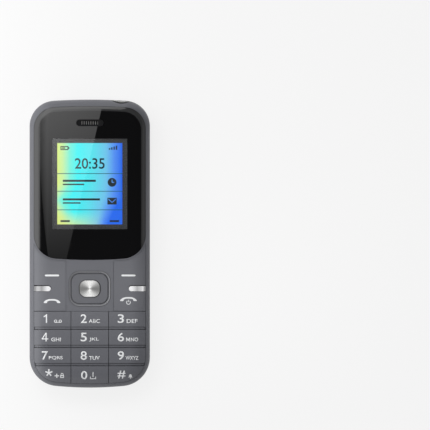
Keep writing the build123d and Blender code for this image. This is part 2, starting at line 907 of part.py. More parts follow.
# The microphone, a small can under the board
with BuildPart(Plane.XY.offset(board_bottom)) as microphone:
    with Locations((0, mic_y)):
        Cylinder(mic_radius, mic_thickness, align=hanging)
    with Locations((0, mic_y, -mic_thickness)):
        Cylinder(mic_hole, mic_thickness / 2, align=seated, mode=Mode.SUBTRACT)
microphone.part.label = "microphone"

# The rear chassis: a plate with a rim for the board and a bay for the battery
bay_bottom = cover_wall + 2 * sliding_play
socket_bottom = board_bottom - stack_play - card_thickness
with BuildPart() as rear_chassis:
    add(body_slab(plate_bottom, board_bottom, chassis_inset))
    add(body_slab(plate_top, board_bottom, chassis_inset + rim_wall), mode=Mode.SUBTRACT)
    with BuildSketch(Plane.XY.offset(bay_bottom)):
        with Locations((0, battery_y)):
            RectangleRounded(
                battery_width + 2 * (battery_play + bay_wall),
                battery_length + 2 * (battery_play + bay_wall),
                battery_edge + bay_wall,
            )
    extrude(amount=plate_bottom - bay_bottom)
    with BuildSketch(Plane.XY.offset(bay_bottom)):
        with Locations((0, battery_y)):
            Rectangle(battery_width + 2 * battery_play, battery_length + 2 * battery_play)
    extrude(amount=plate_bottom - bay_bottom, mode=Mode.SUBTRACT)
    with BuildSketch(Plane.XY.offset(plate_top)):
        with Locations(*screw_places):
            Circle(boss_radius)
    extrude(amount=board_bottom - plate_top)
    with BuildSketch(Plane.XY.offset(plate_bottom - overrun)):
        with Locations(*screw_places):
            Circle(screw_radius + sliding_play)
        with Locations((sim_x, sim_y), (-sim_x, sim_y)):
            Rectangle(sim_width + 2 * sliding_play, sim_length + 2 * sliding_play)
        with Locations((0, memory_y)):
            Rectangle(memory_width + 2 * sliding_play, memory_length + 2 * sliding_play)
        with Locations((camera_x, camera_y)):
            Rectangle(camera_room, camera_room)
        with Locations((torch_x, half_length)):
            Rectangle(2 * (torch_radius + sliding_play), torch_room)
        with Locations((jack_x, -half_length)):
            Rectangle(jack_width + 2 * sliding_play, jack_room)
        with Locations((usb_x, -half_length)):
            Rectangle(usb_width + 2 * sliding_play, 2 * (usb_length + port_depth))
        with Locations((0, mic_y)):
            Circle(mic_radius + sliding_play)
    extrude(amount=board_bottom - plate_bottom + 2 * overrun, mode=Mode.SUBTRACT)
    with BuildSketch(Plane.XY.offset(bay_bottom - overrun)):
        with Locations((0, battery_y + battery_length / 2 + battery_play + bay_wall)):
            Rectangle(battery_width / 3, 2 * bay_wall + 2 * sliding_play)
    extrude(amount=board_bottom - bay_bottom + overrun, mode=Mode.SUBTRACT)
    add(port_cut.part, mode=Mode.SUBTRACT)
rear_chassis.part.label = "rear_chassis"

# The battery, a flat pack with rounded long edges and three contact pads at its head
pad_width = 2.0
pad_sink = 0.15
battery_head_y = battery_y + battery_length / 2
contact_z = battery_bottom + battery_thickness / 2
with BuildPart(Plane.XY.offset(battery_bottom)) as battery:
    with Locations((0, battery_y)):
        Box(battery_width, battery_length, battery_thickness, align=seated)
    fillet(battery.edges().filter_by(Axis.Y), battery_edge)
    with BuildSketch(Plane.XZ.offset(-battery_head_y)):
        with Locations((0, contact_z)):
            with GridLocations(2 * pad_width, 0, battery_pads, 1):
                Rectangle(pad_width, battery_thickness / 2)
    extrude(amount=pad_sink, mode=Mode.SUBTRACT)
battery.part.label = "battery"

# The battery contacts: a block on the board with three sprung blades
contact_width = battery_width / 3 - 2 * sliding_play
contact_bottom = battery_bottom + battery_thickness / 4
block_y = battery_head_y + battery_play + bay_wall
with BuildPart(Plane.XY.offset(board_bottom)) as battery_contacts:
    with Locations((0, block_y)):
        Box(contact_width, bay_wall, board_bottom - contact_bottom, align=hanging)
    with BuildSketch(Plane.XZ.offset(-block_y + bay_wall / 2)):
        with Locations((0, contact_z)):
            with GridLocations(2 * pad_width, 0, battery_pads, 1):
                Rectangle(pad_width / 2, battery_thickness / 4)
    extrude(amount=block_y - bay_wall / 2 - battery_head_y - fixed_play)
battery_contacts.part.label = "battery_contacts"


def card_socket(label, x, y, width, length):
    """A low steel card socket under the board, open at its foot, with contact slits in its floor."""
    with BuildPart(Plane.XY.offset(socket_bottom)) as socket:
        with Locations((x, y)):
            Box(width, length, card_thickness, align=seated)
        with Locations((x, y - socket_wall, socket_wall)):
            Box(
                width - 2 * socket_wall,
                length,
                card_thickness - 2 * socket_wall,
                align=seated,
                mode=Mode.SUBTRACT,
            )
        with Locations((x, y)):
            with GridLocations(width / 4, length / 3, slit_columns, slit_rows):
                Box(width / 8, length / 6, socket_wall, align=seated, mode=Mode.SUBTRACT)
    socket.part.label = label
    return socket.part


sockets = (
    card_socket("sim_socket_1", sim_x, sim_y, sim_width, sim_length),
    card_socket("sim_socket_2", -sim_x, sim_y, sim_width, sim_length),
    card_socket("memory_card_socket", 0, memory_y, memory_width, memory_length),
)

# The back cover: a curved skin with its grille, camera window and accent grooves
with BuildPart() as grille_slits:
    with BuildSketch(Plane.XY.offset(-overrun)):
        with Locations((speaker_x, speaker_y)):
            with GridLocations(0, grille_pitch, 1, grille_slots):
                SlotOverall(grille_slot_width, grille_slot_length)
    extrude(amount=cover_wall + 2 * overrun)


def accent_tool(sink, gap):
    """The two accent lines across the back, pointed at their ends, down to a depth in its skin."""
    half = accent_width / 2 - gap
    with BuildPart() as lines:
        for y in (accent_head_y, accent_foot_y):
            with BuildSketch(Plane.XY.offset(-overrun)):
                with BuildLine():
                    Polyline(
                        (accent_half_length - gap, y),
                        (accent_straight, y + half),
                        (-accent_straight, y + half),
                        (-accent_half_length + gap, y),
                        (-accent_straight, y - half),
                        (accent_straight, y - half),
                        close=True,
                    )
                make_face()
            extrude(amount=back_depth)
        add(back_form(sink), mode=Mode.SUBTRACT)
    return lines.part


with BuildPart() as back_cover:
    add(back_form(0))
    add(back_form(cover_wall), mode=Mode.SUBTRACT)
    add(grille_slits.part, mode=Mode.SUBTRACT)
    with BuildSketch(Plane.XY.offset(-overrun)):
        with Locations((window_pill_x, window_pill_y)):
            SlotOverall(window_pill_width, window_pill_length)
    extrude(amount=overrun + window_pane_thickness, mode=Mode.SUBTRACT)
    with BuildSketch(Plane.XY.offset(-overrun)):
        with Locations((camera_x, camera_y)):
            Circle(camera_barrel_radius + sliding_play)
        with Locations((flash_x, camera_y)):
            Circle(flash_radius)
    extrude(amount=2 * overrun + cover_wall, mode=Mode.SUBTRACT)
    add(accent_tool(accent_depth, 0), mode=Mode.SUBTRACT)
    add(torch_cut.part, mode=Mode.SUBTRACT)
    add(port_cut.part, mode=Mode.SUBTRACT)
back_cover.part.label = "back_cover"

# The gloss strips in the accent grooves
with BuildPart() as rear_accent_strips:
    add(accent_tool(accent_depth - stack_play, stack_play))
    add(back_form(0), mode=Mode.INTERSECT)
rear_accent_strips.part.label = "rear_accent_strips"

# The window pane on the back, with the camera's ring and glass in it
with BuildPart() as camera_window:
    with BuildSketch():
        with Locations((window_pill_x, window_pill_y)):
            SlotOverall(window_pill_width - 2 * stack_play, window_pill_length - 2 * stack_play)
        with Locations((camera_x, camera_y)):
            Circle(camera_ring_radius + stack_play, mode=Mode.SUBTRACT)
        with Locations((flash_x, camera_y)):
            Circle(flash_radius, mode=Mode.SUBTRACT)
    extrude(amount=window_pane_thickness)
camera_window.part.label = "camera_window"

with BuildPart() as camera_ring:
    with BuildSketch():
        with Locations((camera_x, camera_y)):
            Circle(camera_ring_radius)
            Circle(camera_glass_radius + stack_play, mode=Mode.SUBTRACT)
    extrude(amount=window_pane_thickness)
    chamfer(
        camera_ring.faces().sort_by(Axis.Z)[0].inner_wires()[0].edges(), window_pane_thickness / 2
    )
camera_ring.part.label = "camera_ring"

with BuildPart(Plane.XY.offset(window_pane_thickness / 2)) as camera_glass:
    with Locations((camera_x, camera_y)):
        Cylinder(camera_glass_radius, window_pane_thickness / 2, align=seated)
camera_glass.part.label = "camera_glass"

# The camera module on its own cable stub under the board
camera_top = board_bottom - stack_play
with BuildPart(Plane.XY.offset(camera_body_bottom)) as camera_module:
    with Locations((camera_x, camera_y)):
        Box(camera_size, camera_size, camera_top - camera_body_bottom, align=seated)
    fillet(camera_module.edges().filter_by(Axis.Z), camera_size / 10)
    with BuildSketch(Plane.XY.offset(cover_wall + fixed_play)):
        with Locations((camera_x, camera_y)):
            Circle(camera_barrel_radius)
    extrude(amount=camera_body_bottom - cover_wall - fixed_play)
    with BuildSketch(Plane.XY.offset(cover_wall + fixed_play)):
        with Locations((camera_x, camera_y)):
            Circle(camera_barrel_radius / 2)
    extrude(amount=fixed_play, mode=Mode.SUBTRACT)
camera_module.part.label = "camera_module"

# The flash, a lamp on a post under the board
with BuildPart(Plane.XY.offset(stack_play)) as flash_led:
    with Locations((flash_x, camera_y)):
        Cylinder(flash_radius - fixed_play, plate_bottom - stack_play, align=seated)
    fillet(flash_led.edges().sort_by(Axis.Z)[0], flash_radius / 4)
flash_led.part.label = "flash_led"

# The loudspeaker, an oval can with a raised magnet, and the mesh inside the cover
speaker_bottom = plate_bottom - stack_play - speaker_height
with BuildPart() as loudspeaker:
    with BuildSketch(Plane.XY.offset(speaker_bottom)):
        with Locations((speaker_x, speaker_y)):
            RectangleRounded(speaker_width, speaker_length, speaker_corner)
    extrude(amount=speaker_height)
    with BuildSketch(Plane.XY.offset(speaker_bottom)):
        with Locations((speaker_x, speaker_y)):
            RectangleRounded(
                speaker_width - 2 * bay_wall, speaker_length - 2 * bay_wall, speaker_corner - bay_wall
            )
    extrude(amount=speaker_height / 4, mode=Mode.SUBTRACT)
    with BuildSketch(Plane.XY.offset(speaker_bottom + speaker_height / 8)):
        with Locations((speaker_x, speaker_y)):
            Circle(speaker_length / 4)
    extrude(amount=speaker_height / 4)
loudspeaker.part.label = "loudspeaker"

with BuildPart(Plane.XY.offset(cover_wall + stack_play)) as speaker_mesh:
    with Locations((speaker_x, speaker_y)):
        Box(
            grille_slot_width + grille_slot_length,
            grille_pitch * grille_slots + grille_slot_length,
            mesh_thickness,
            align=seated,
        )
speaker_mesh.part.label = "speaker_mesh"

# The vibration motor, a small can on its side, with its eccentric weight on the shaft
motor_z = plate_bottom - stack_play - motor_radius
motor_end_x = motor_x + motor_length / 2
with BuildPart() as vibration_motor:
    with BuildSketch(Plane.YZ.offset(motor_x - motor_length / 2)):
        with Locations((motor_y, motor_z)):
            Circle(motor_radius)
    extrude(amount=motor_length)
    with BuildSketch(Plane.YZ.offset(motor_end_x)):
        with Locations((motor_y, motor_z)):
            Circle(shaft_radius + fixed_play)
    extrude(amount=-motor_length / 2, mode=Mode.SUBTRACT)
vibration_motor.part.label = "vibration_motor"

with BuildPart() as motor_weight:
    with BuildSketch(Plane.YZ.offset(motor_end_x - motor_length / 3)):
        with Locations((motor_y, motor_z)):
            Circle(shaft_radius)
    extrude(amount=motor_length / 3 + weight_gap + weight_length)
    with BuildSketch(Plane.YZ.offset(motor_end_x + weight_gap)):
        with Locations((motor_y, motor_z)):
            Circle(motor_radius - fixed_play)
        with Locations((motor_y, motor_z + motor_radius)):
            Rectangle(2 * motor_radius, 2 * (motor_radius - shaft_radius / 2), mode=Mode.SUBTRACT)
    extrude(amount=weight_length)
motor_weight.part.label = "motor_weight"

# The antenna, a carrier under the chassis plate with its meander raised on it
antenna_top = plate_bottom - stack_play
with BuildPart(Plane.XY.offset(antenna_top)) as antenna:
    with Locations((0, antenna_y)):
        Box(antenna_width, antenna_length, antenna_thickness, align=hanging)
    fillet(antenna.edges().filter_by(Axis.Z), trace_width)
    with Locations((0, antenna_y, -antenna_thickness)):
        with GridLocations(trace_pitch, 0, trace_count, 1):
            Box(trace_width, trace_length, trace_height, align=hanging)
        with GridLocations(0, bus_pitch, 1, bus_count):
            Box(bus_length, trace_width, trace_height, align=hanging)
antenna.part.label = "antenna"

# The torch: bezel, lens, reflector, and the lamp on its own board
head_at_torch = half_length - torch_x**2 / (2 * head_crown)
torch_back_y = half_length - torch_depth
with BuildPart() as torch_bezel:
    add(envelope.part)
    with BuildSketch(Plane.XZ.offset(-torch_back_y)):
        with Locations((torch_x, torch_z)):
            Circle(torch_radius)
            Circle(torch_lens_radius + stack_play, mode=Mode.SUBTRACT)
    extrude(amount=-torch_depth - overrun, mode=Mode.INTERSECT)
torch_bezel.part.label = "torch_bezel"

lens_back_y = head_at_torch - torch_lens_thickness
with BuildPart() as torch_lens:
    add(envelope.part)
    with BuildSketch(Plane.XZ.offset(-lens_back_y)):
        with Locations((torch_x, torch_z)):
            Circle(torch_lens_radius)
    extrude(amount=-torch_lens_thickness - overrun, mode=Mode.INTERSECT)
torch_lens.part.label = "torch_lens"

reflector_back_y = lens_back_y - reflector_depth
with BuildPart() as torch_reflector:
    with BuildSketch(Plane.XY.offset(torch_z)):
        with BuildLine():
            Polyline(
                (torch_x + reflector_throat, reflector_back_y),
                (torch_x + torch_lens_radius - reflector_wall, lens_back_y),
                (torch_x + torch_lens_radius, lens_back_y),
                (torch_x + torch_lens_radius, lens_back_y - reflector_wall),
                (torch_x + reflector_throat + reflector_wall, reflector_back_y),
                close=True,
            )
        make_face()
    revolve(axis=Axis((torch_x, 0, torch_z), (0, 1, 0)))
torch_reflector.part.label = "torch_reflector"

with BuildPart() as torch_led:
    with BuildSketch(Plane.XZ.offset(-reflector_back_y)):
        with Locations((torch_x, torch_z)):
            Circle(torch_lens_radius - fixed_play)
    extrude(amount=torch_board_thickness)
    with BuildSketch(Plane.XZ.offset(-reflector_back_y)):
        with Locations((torch_x, torch_z)):
            Circle(led_radius)
    extrude(amount=-led_height)
    fillet(torch_led.edges().sort_by(Axis.Y)[-1], led_rounding)
torch_led.part.label = "torch_led"

# Six screws hold the chassis and the board to the front housing
with BuildPart(Plane.XY.offset(plate_bottom)) as housing_screws:
    with Locations(*screw_places):
        Cylinder(screw_radius, screw_reach, align=seated)
        Cylinder(screw_head_radius, screw_head_height, align=hanging)
    with BuildSketch(Plane.XY.offset(plate_bottom - screw_head_height)):
        with Locations(*screw_places):
            Rectangle(2 * screw_radius, screw_radius / 3)
            Rectangle(screw_radius / 3, 2 * screw_radius)
    extrude(amount=screw_head_height / 2, mode=Mode.SUBTRACT)
housing_screws.part.label = "housing_screws"

pieces = [
    front_housing.part,
    display_lens.part,
    lens_mask.part,
    earpiece_grille.part,
    earpiece_receiver.part,
    lcd_glass.part,
    lcd_backlight.part,
    lcd_flex.part,
    main_pcb.part,
    dome_sheet.part,
    keymat.part,
    *keys.values(),
    *function_keys.values(),
    *chrome_bars.values(),
    nav_bezel.part,
    nav_pad.part,
    nav_ring.part,
    ok_key.part,
    *side_bands.values(),
    port_bezel.part,
    audio_jack.part,
    usb_socket.part,
    microphone.part,
    rear_chassis.part,
    battery.part,
    battery_contacts.part,
    *sockets,
    back_cover.part,
    rear_accent_strips.part,
    camera_window.part,
    camera_ring.part,
    camera_glass.part,
    camera_module.part,
    flash_led.part,
    loudspeaker.part,
    speaker_mesh.part,
    vibration_motor.part,
    motor_weight.part,
    antenna.part,
    torch_bezel.part,
    torch_lens.part,
    torch_reflector.part,
    torch_led.part,
    housing_screws.part,
]

os.makedirs("parts", exist_ok=True)
for piece in pieces:
    export_step(piece, f"parts/{piece.label}.step")
print(len(pieces), "pieces written")
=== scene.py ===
from math import cos, pi, radians, sin

import bmesh
import bpy
from mathutils import Matrix, Vector
from mathutils.bvhtree import BVHTree


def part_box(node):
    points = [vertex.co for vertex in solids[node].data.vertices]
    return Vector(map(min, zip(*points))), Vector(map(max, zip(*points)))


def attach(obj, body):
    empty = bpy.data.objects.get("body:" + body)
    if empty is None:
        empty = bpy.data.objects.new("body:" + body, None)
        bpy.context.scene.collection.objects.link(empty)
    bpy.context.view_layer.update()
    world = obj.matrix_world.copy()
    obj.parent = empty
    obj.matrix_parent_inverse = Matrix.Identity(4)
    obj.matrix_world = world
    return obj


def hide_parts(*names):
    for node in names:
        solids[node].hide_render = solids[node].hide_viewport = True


# A bar feature phone on its back, screen up, in metres: X across the keys, Y to the torch, Z out of the screen.
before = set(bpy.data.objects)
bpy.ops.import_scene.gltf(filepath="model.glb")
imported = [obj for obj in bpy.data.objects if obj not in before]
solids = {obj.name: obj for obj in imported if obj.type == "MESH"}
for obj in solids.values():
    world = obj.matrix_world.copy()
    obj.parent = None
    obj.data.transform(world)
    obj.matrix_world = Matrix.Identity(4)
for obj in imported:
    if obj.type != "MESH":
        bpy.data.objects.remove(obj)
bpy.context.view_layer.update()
mm = 0.001


# Front housing
# The slate moulding that frames the lens and the keys. It is moulded in one piece,
# sprayed with a fine matt texture coat, and screwed to the chassis from behind.
class Signal:
    """A number that varies over a surface or along a pattern, for plain sums in Python."""

    def __init__(self, tree, socket):
        self.tree = tree
        self.socket = socket

    def maths(self, operation, *values):
        """A Math node on these values, or on this number alone."""
        node = self.tree.nodes.new("ShaderNodeMath")
        node.operation = operation
        for socket, value in zip(node.inputs, values or (self,)):
            connect(socket, value)
        return Signal(self.tree, node.outputs[0])

    def __add__(self, other):
        return self.maths("ADD", self, other)

    def __radd__(self, other):
        return self.maths("ADD", other, self)

    def __sub__(self, other):
        return self.maths("SUBTRACT", self, other)

    def __rsub__(self, other):
        return self.maths("SUBTRACT", other, self)

    def __mul__(self, other):
        return self.maths("MULTIPLY", self, other)

    def __rmul__(self, other):
        return self.maths("MULTIPLY", other, self)

    def __truediv__(self, other):
        return self.maths("DIVIDE", self, other)

    def __rtruediv__(self, other):
        return self.maths("DIVIDE", other, self)

    def __pow__(self, other):
        return self.maths("POWER", self, other)

    def __lt__(self, other):
        return self.maths("LESS_THAN", self, other)

    def __gt__(self, other):
        return self.maths("GREATER_THAN", self, other)

    def __abs__(self):
        return self.maths("ABSOLUTE")

    def floored(self, least):
        return self.maths("MAXIMUM", self, least)

    def capped(self, most):
        return self.maths("MINIMUM", self, most)


def connect(socket, value):
    """Sets a socket to a plain value, or links it to a signal. A plain colour gets its alpha here."""
    if isinstance(value, Signal):
        value.tree.links.new(value.socket, socket)
    elif socket.type == "RGBA":
        socket.default_value = (*value, 1.0)
    else:
        socket.default_value = value


class Bench:
    """Adds nodes to one tree: the type, then its settings, then the values or links of its sockets."""

    def __init__(self, tree):
        self.tree = tree

    def node(self, kind, settings=(), sockets=(), output=0):
        made = self.tree.nodes.new(kind)
        for name, value in dict(settings).items():
            if name == "stops":
                while len(made.color_ramp.elements) < len(value):
                    made.color_ramp.elements.new(1.0)
                for stop, (place, colour) in zip(made.color_ramp.elements, value):
                    stop.position = place
                    stop.color = (*colour, 1.0)
            else:
                setattr(made, name, value)
        for name, value in dict(sockets).items():
            connect(made.inputs[name], value)
        return Signal(self.tree, made.outputs[output])

    def axis(self, name, place=None):
        """One coordinate of a place or a direction."""
        return self.node("ShaderNodeSeparateXYZ", {}, {0: place or self.place}, output=name)


class Finish(Bench):
    """One material: a Principled shader and what feeds it."""

    def __init__(self, name, **sockets):
        self.material = bpy.data.materials.new(name)
        self.material.use_nodes = True
        super().__init__(self.material.node_tree)
        self.shader = self.tree.nodes["Principled BSDF"]
        self.place = self.node("ShaderNodeTexCoord", output="Object")
        self.set(**sockets)

    def set(self, **sockets):
        for name, value in sockets.items():
            connect(self.shader.inputs[name.replace("_", " ").title().replace("Ior", "IOR")], value)

    def noise(self, size, detail, place=None, distortion=0.0):
        """Smooth random mottling, whose patches are about as large as size."""
        return self.node("ShaderNodeTexNoise", {}, {
            "Vector": place or self.place, "Scale": 1 / size, "Detail": detail, "Distortion": distortion})

    def stretched(self, shares, centre=(0.0, 0.0, 0.0)):
        """Object coordinates drawn out by these shares, and counted from a centre."""
        return self.node("ShaderNodeMapping", {}, {
            "Vector": self.place, "Location": [-reach for reach in centre], "Scale": shares})

    def shade(self, colour, share):
        """The colour, made lighter or darker by a varying share."""
        return self.node("ShaderNodeVectorMath", {"operation": "SCALE"}, {0: colour, "Scale": share})

    def between(self, low, high, share):
        """A colour between two others."""
        return self.node("ShaderNodeMix", {"data_type": "RGBA"}, {0: share, 6: low, 7: high}, output=2)

    def relief(self, height, depth):
        """Small relief of the surface, with this depth in metres."""
        connect(self.shader.inputs["Normal"], self.node("ShaderNodeBump", {}, {"Height": height, "Distance": depth}))


def grained(name, roughness, grain, depth, **sockets):
    """Moulded plastic with a fine even grain, and slow changes of gloss."""
    finish = Finish(name, **sockets)
    finish.fine = finish.noise(grain, 3.0)
    finish.slow = finish.noise(14 * mm, 3.0)
    finish.set(roughness=finish.slow * 0.12 + finish.fine * 0.06 + (roughness - 0.09))
    finish.relief(finish.fine, depth)
    return finish


def moulded(name, colour, roughness, grain, depth, uneven=0.05, **sockets):
    """The same plastic in one colour, whose shade is a little uneven."""
    finish = grained(name, roughness, grain, depth, **sockets)
    finish.set(base_color=finish.shade(colour, finish.fine * uneven + finish.slow * uneven + (1 - uneven)))
    return finish


def dress(finish, *names):
    """Gives a finish to solids of the frame."""
    for name in names:
        for slot in solids[name].material_slots:
            slot.material = finish.material


shell_slate = (0.135, 0.138, 0.156)
shell_grain = 0.22 * mm
shell_relief = 0.014 * mm
shell_coat = {"coat_weight": 0.12, "coat_roughness": 0.4}
shell_finish = moulded("sprayed_slate", shell_slate, 0.52, shell_grain, shell_relief, **shell_coat)
dress(shell_finish, "front_housing")


# Back cover
# The slate tray that snaps over the battery, sprayed like the front housing. Its lower
# edges are rubbed a little smoother and lighter, where the phone slides on tables.
cover_finish = Finish("sprayed_slate_rubbed", **shell_coat)
cover_grain = cover_finish.noise(shell_grain, 3.0)
worn_height = 1.2 * mm
worn_slate = (0.17, 0.172, 0.188)
rubbed = (1 - cover_finish.axis("Z") / worn_height).floored(0.0) * cover_finish.noise(5 * mm, 4.0)
sprayed = cover_finish.shade(shell_slate, cover_grain * 0.06 + 0.97)
cover_finish.set(base_color=cover_finish.between(sprayed, worn_slate, rubbed * 0.8), roughness=0.52 - rubbed * 0.2)
cover_finish.relief(cover_grain, shell_relief)
dress(cover_finish, "back_cover")


# Gloss black trim
# The bands along the sides, the port surround, the torch bezel and the camera window.
# They are polished black mouldings with faint wiping marks, let into the slate shells.
# The grille in the earpiece slot is black too, but dull.
def polished(name, roughness):
    """Polished moulding: a faint orange peel under the gloss, and fine wiping marks."""
    finish = Finish(name, specular_ior_level=0.25)
    finish.peel = finish.noise(2.2 * mm, 2.0)
    wiped = finish.noise(1.1 * mm, 4.0, finish.stretched((6.0, 1.0, 1.0)))
    finish.set(roughness=wiped * 0.09 + roughness)
    finish.relief(finish.peel, 0.004 * mm)
    return finish


gloss_black = (0.004, 0.004, 0.005)
gloss_finish = polished("polished_black", 0.05)
gloss_finish.set(base_color=gloss_finish.shade(gloss_black, gloss_finish.peel * 0.2 + 0.9))
dress(gloss_finish, "left_side_band", "right_side_band", "port_bezel", "torch_bezel", "camera_window")
grille_black = (0.010, 0.010, 0.011)
grille_finish = moulded("dull_black_grille", grille_black, 0.7, 0.2 * mm, 0.01 * mm, 0.2, specular_ior_level=0.2)
dress(grille_finish, "earpiece_grille")


# Accent lines across the back
# Two inlaid strips of polished black that thin out to points, glued into grooves of
# the cover. Their ends are painted silver grey, a painted highlight where they curve
# away and catch the light.
accent_dark = 20.2 * mm
highlight_fade = 2.6 * mm
strip_black = (0.01, 0.01, 0.012)
painted_highlight_silver = (1.0, 1.0, 1.02)
accent_finish = polished("accent_foil", 0.06)
# Painted highlight: towards each end the strip's colour turns from black to silver grey.
painted_highlight_share = ((abs(accent_finish.axis("X")) - accent_dark) / highlight_fade).floored(0.0).capped(1.0)
strip_tone = accent_finish.noise(0.8 * mm, 3.0) * 0.1 + 0.4
accent_finish.set(base_color=accent_finish.shade(accent_finish.between(strip_black, painted_highlight_silver, painted_highlight_share), strip_tone))
dress(accent_finish, "rear_accent_strips")


# Lens
# The window over the upper front, moulded in clear acrylic and hard-coated. It is clear
# over the display and black elsewhere, from the ink at its back, with a lighter grey band
# along its rim that is a painted reflection of the curved edge.
# Handling has left faint smudges on it, that only show in a reflection.
def inside_outline(beside, upward, side, head, corner):
    """How far inside an outline with round corners a point lies, from its distances to the two middle lines."""
    past_side = (beside - (side - corner)).floored(0.0)
    past_head = (upward - (head - corner)).floored(0.0)
    return corner - (past_side * past_side + past_head * past_head).maths("SQRT")


black_ink = (0.002, 0.002, 0.0024)
painted_rim_reflection_grey = (0.038, 0.038, 0.039)
rim_reflection_width = 2.15 * mm
rim_reflection_blur = 0.35 * mm
lens_side, lens_head, lens_corner, lens_crown = 24.1 * mm, 59.2 * mm, 9.2 * mm, 256 * mm
opening_half_width, opening_half_length = 16.15 * mm, 19.5 * mm
opening_middle = 25.7 * mm
square_on = 0.027
lens_finish = Finish("hard_coated_window", ior=1.6)
smudges = lens_finish.noise(9 * mm, 5.0, distortion=0.6)
beside = abs(lens_finish.axis("X"))
upward = lens_finish.axis("Y")
crowned = upward + beside * beside / (2 * lens_crown)
under_rim = inside_outline(beside, crowned, lens_side, lens_head, lens_corner)
# Painted reflection: a lighter grey band within a set width of the lens rim.
painted_rim_reflection = ((rim_reflection_width - under_rim) / rim_reflection_blur).floored(0.0).capped(1.0)
ink_screen = lens_finish.noise(0.12 * mm, 3.0) * 0.1 + 0.95
in_opening = (beside < opening_half_width) * (abs(upward - opening_middle) < opening_half_length)
inked = lens_finish.shade(lens_finish.between(black_ink, painted_rim_reflection_grey, painted_rim_reflection), ink_screen)
aslant = lens_finish.node("ShaderNodeLayerWeight", {}, {"Blend": 0.5}, output="Facing")
mirrored = aslant ** 5 * (1 - square_on) + square_on
lens_finish.set(
    base_color=lens_finish.between(inked, (1.0, 1.0, 1.0), in_opening),
    metallic=in_opening,
    roughness=((smudges - 0.55) * 0.25).floored(0.0),
    alpha=1 - in_opening * (1 - mirrored),
)
dress(lens_finish, "display_lens")


# Print under the lens
# Black ink on a thin film behind the window, open round the display. Its fine screen
# shows as an almost even black.
mask_finish = moulded("screen_ink", black_ink, 0.6, 0.12 * mm, 0.002 * mm, specular_ior_level=0.05)
dress(mask_finish, "lens_mask")


# Display
# A colour display behind the lens. Its glass is a dark polariser with a frosted border,
# and the picture glows on it, a soft wallpaper with a clock, status marks and two notes.
polariser = Finish("polariser_glass", ior=1.5, emission_strength=1.0)
haze = polariser.noise(0.35 * mm, 3.0)
haze_share = haze * 0.1 + 0.95
polariser.set(
    base_color=polariser.shade((0.030, 0.031, 0.032), haze_share),
    roughness=haze * 0.1 + 0.22,
    emission_color=polariser.shade((0.018, 0.019, 0.020), haze_share),
)
dress(polariser, "lcd_glass")

glass_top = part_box("lcd_glass")[1].z
picture_width = 28.0 * mm
picture_length = 35.0 * mm
picture_y = 25.8 * mm
picture_lift = 0.01 * mm
picture_depth = 0.01 * mm
pixel_rows_scale = 1360.0

wallpaper = Finish("glowing_wallpaper", base_color=(0.0, 0.0, 0.0), roughness=0.4, emission_strength=1.0)
left_foot = (-0.5, picture_y / picture_length - 0.5, 0.0)
picture_shares = wallpaper.stretched((1 / picture_width, 1 / picture_length, 1.0), left_foot)
share_x = wallpaper.axis("X", picture_shares)
share_y = wallpaper.axis("Y", picture_shares)
low_right = (0.32 - share_y).floored(0.0) * share_x * 0.9
left_glow = (1 - abs(share_y - 0.3) * 5.0).floored(0.0) * 0.16
drift = share_x + low_right + left_glow * (1 - share_x) + (wallpaper.noise(40 * mm, 1.0) - 0.5) * 0.05
sweep = wallpaper.node("ShaderNodeValToRGB", {"stops": (
    (0.0, (0.74, 0.90, 0.20)),
    (0.09, (0.60, 0.90, 0.36)),
    (0.20, (0.17, 0.90, 0.72)),
    (0.32, (0.02, 0.93, 0.95)),
    (0.56, (0.10, 0.80, 0.90)),
    (0.76, (0.16, 0.58, 0.88)),
    (0.88, (0.09, 0.30, 0.93)),
    (1.0, (0.010, 0.14, 0.88)),
)}, {"Fac": drift})
foot_glow = (1 - share_y * 6.5).floored(0.0) * (1.15 - share_x * 1.6).floored(0.0).capped(1.0)
pixel_rows = wallpaper.node("ShaderNodeTexWave", {"wave_type": "BANDS", "bands_direction": "Y"}, {
    "Vector": wallpaper.place, "Scale": pixel_rows_scale})
dots = pixel_rows * 0.06 + 0.94
wallpaper.set(emission_color=wallpaper.shade(wallpaper.between(sweep, (0.74, 0.86, 0.24), foot_glow), dots))


def put_in_scene(name, data):
    """Makes an object of a mesh, a curve, a lamp or a camera."""
    thing = bpy.data.objects.new(name, data)
    bpy.context.scene.collection.objects.link(thing)
    return thing


def finished(name, shape, finish, body):
    """Turns a closed shape into a piece that rides on a body."""
    bmesh.ops.recalc_face_normals(shape, faces=shape.faces)
    mesh = bpy.data.meshes.new(name)
    shape.to_mesh(mesh)
    shape.free()
    mesh.materials.append(finish.material)
    piece = put_in_scene(name, mesh)
    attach(piece, body)
    return piece


def plate(name, width, length, centre, bottom, thickness, finish, body, corner=0.0):
    """A thin flat plate with round corners, closed on all sides."""
    shape = bmesh.new()
    steps = 6 if corner else 0
    rim = []
    for side_x, side_y, start in ((1, 1, 0.0), (-1, 1, 0.5), (-1, -1, 1.0), (1, -1, 1.5)):
        for step in range(steps + 1):
            turn = pi * (start + 0.5 * step / max(steps, 1))
            rim.append(shape.verts.new((
                centre[0] + side_x * (width / 2 - corner) + corner * cos(turn),
                centre[1] + side_y * (length / 2 - corner) + corner * sin(turn),
                bottom)))
    raised = bmesh.ops.extrude_face_region(shape, geom=[shape.faces.new(rim)])["geom"]
    bmesh.ops.translate(shape, verts=[v for v in raised if isinstance(v, bmesh.types.BMVert)], vec=(0, 0, thickness))
    return finished(name, shape, finish, body)


picture_bottom = glass_top + picture_lift
picture = plate("screen_picture", picture_width, picture_length, (0.0, picture_y), picture_bottom, picture_depth,
                wallpaper, "root")


def flat_mesh(curve):
    """The filled flat mesh of some words or outlines."""
    carrier = put_in_scene("carrier", curve)
    settled = carrier.evaluated_get(bpy.context.evaluated_depsgraph_get())
    mesh = bpy.data.meshes.new_from_object(settled)
    bpy.data.objects.remove(carrier)
    return mesh


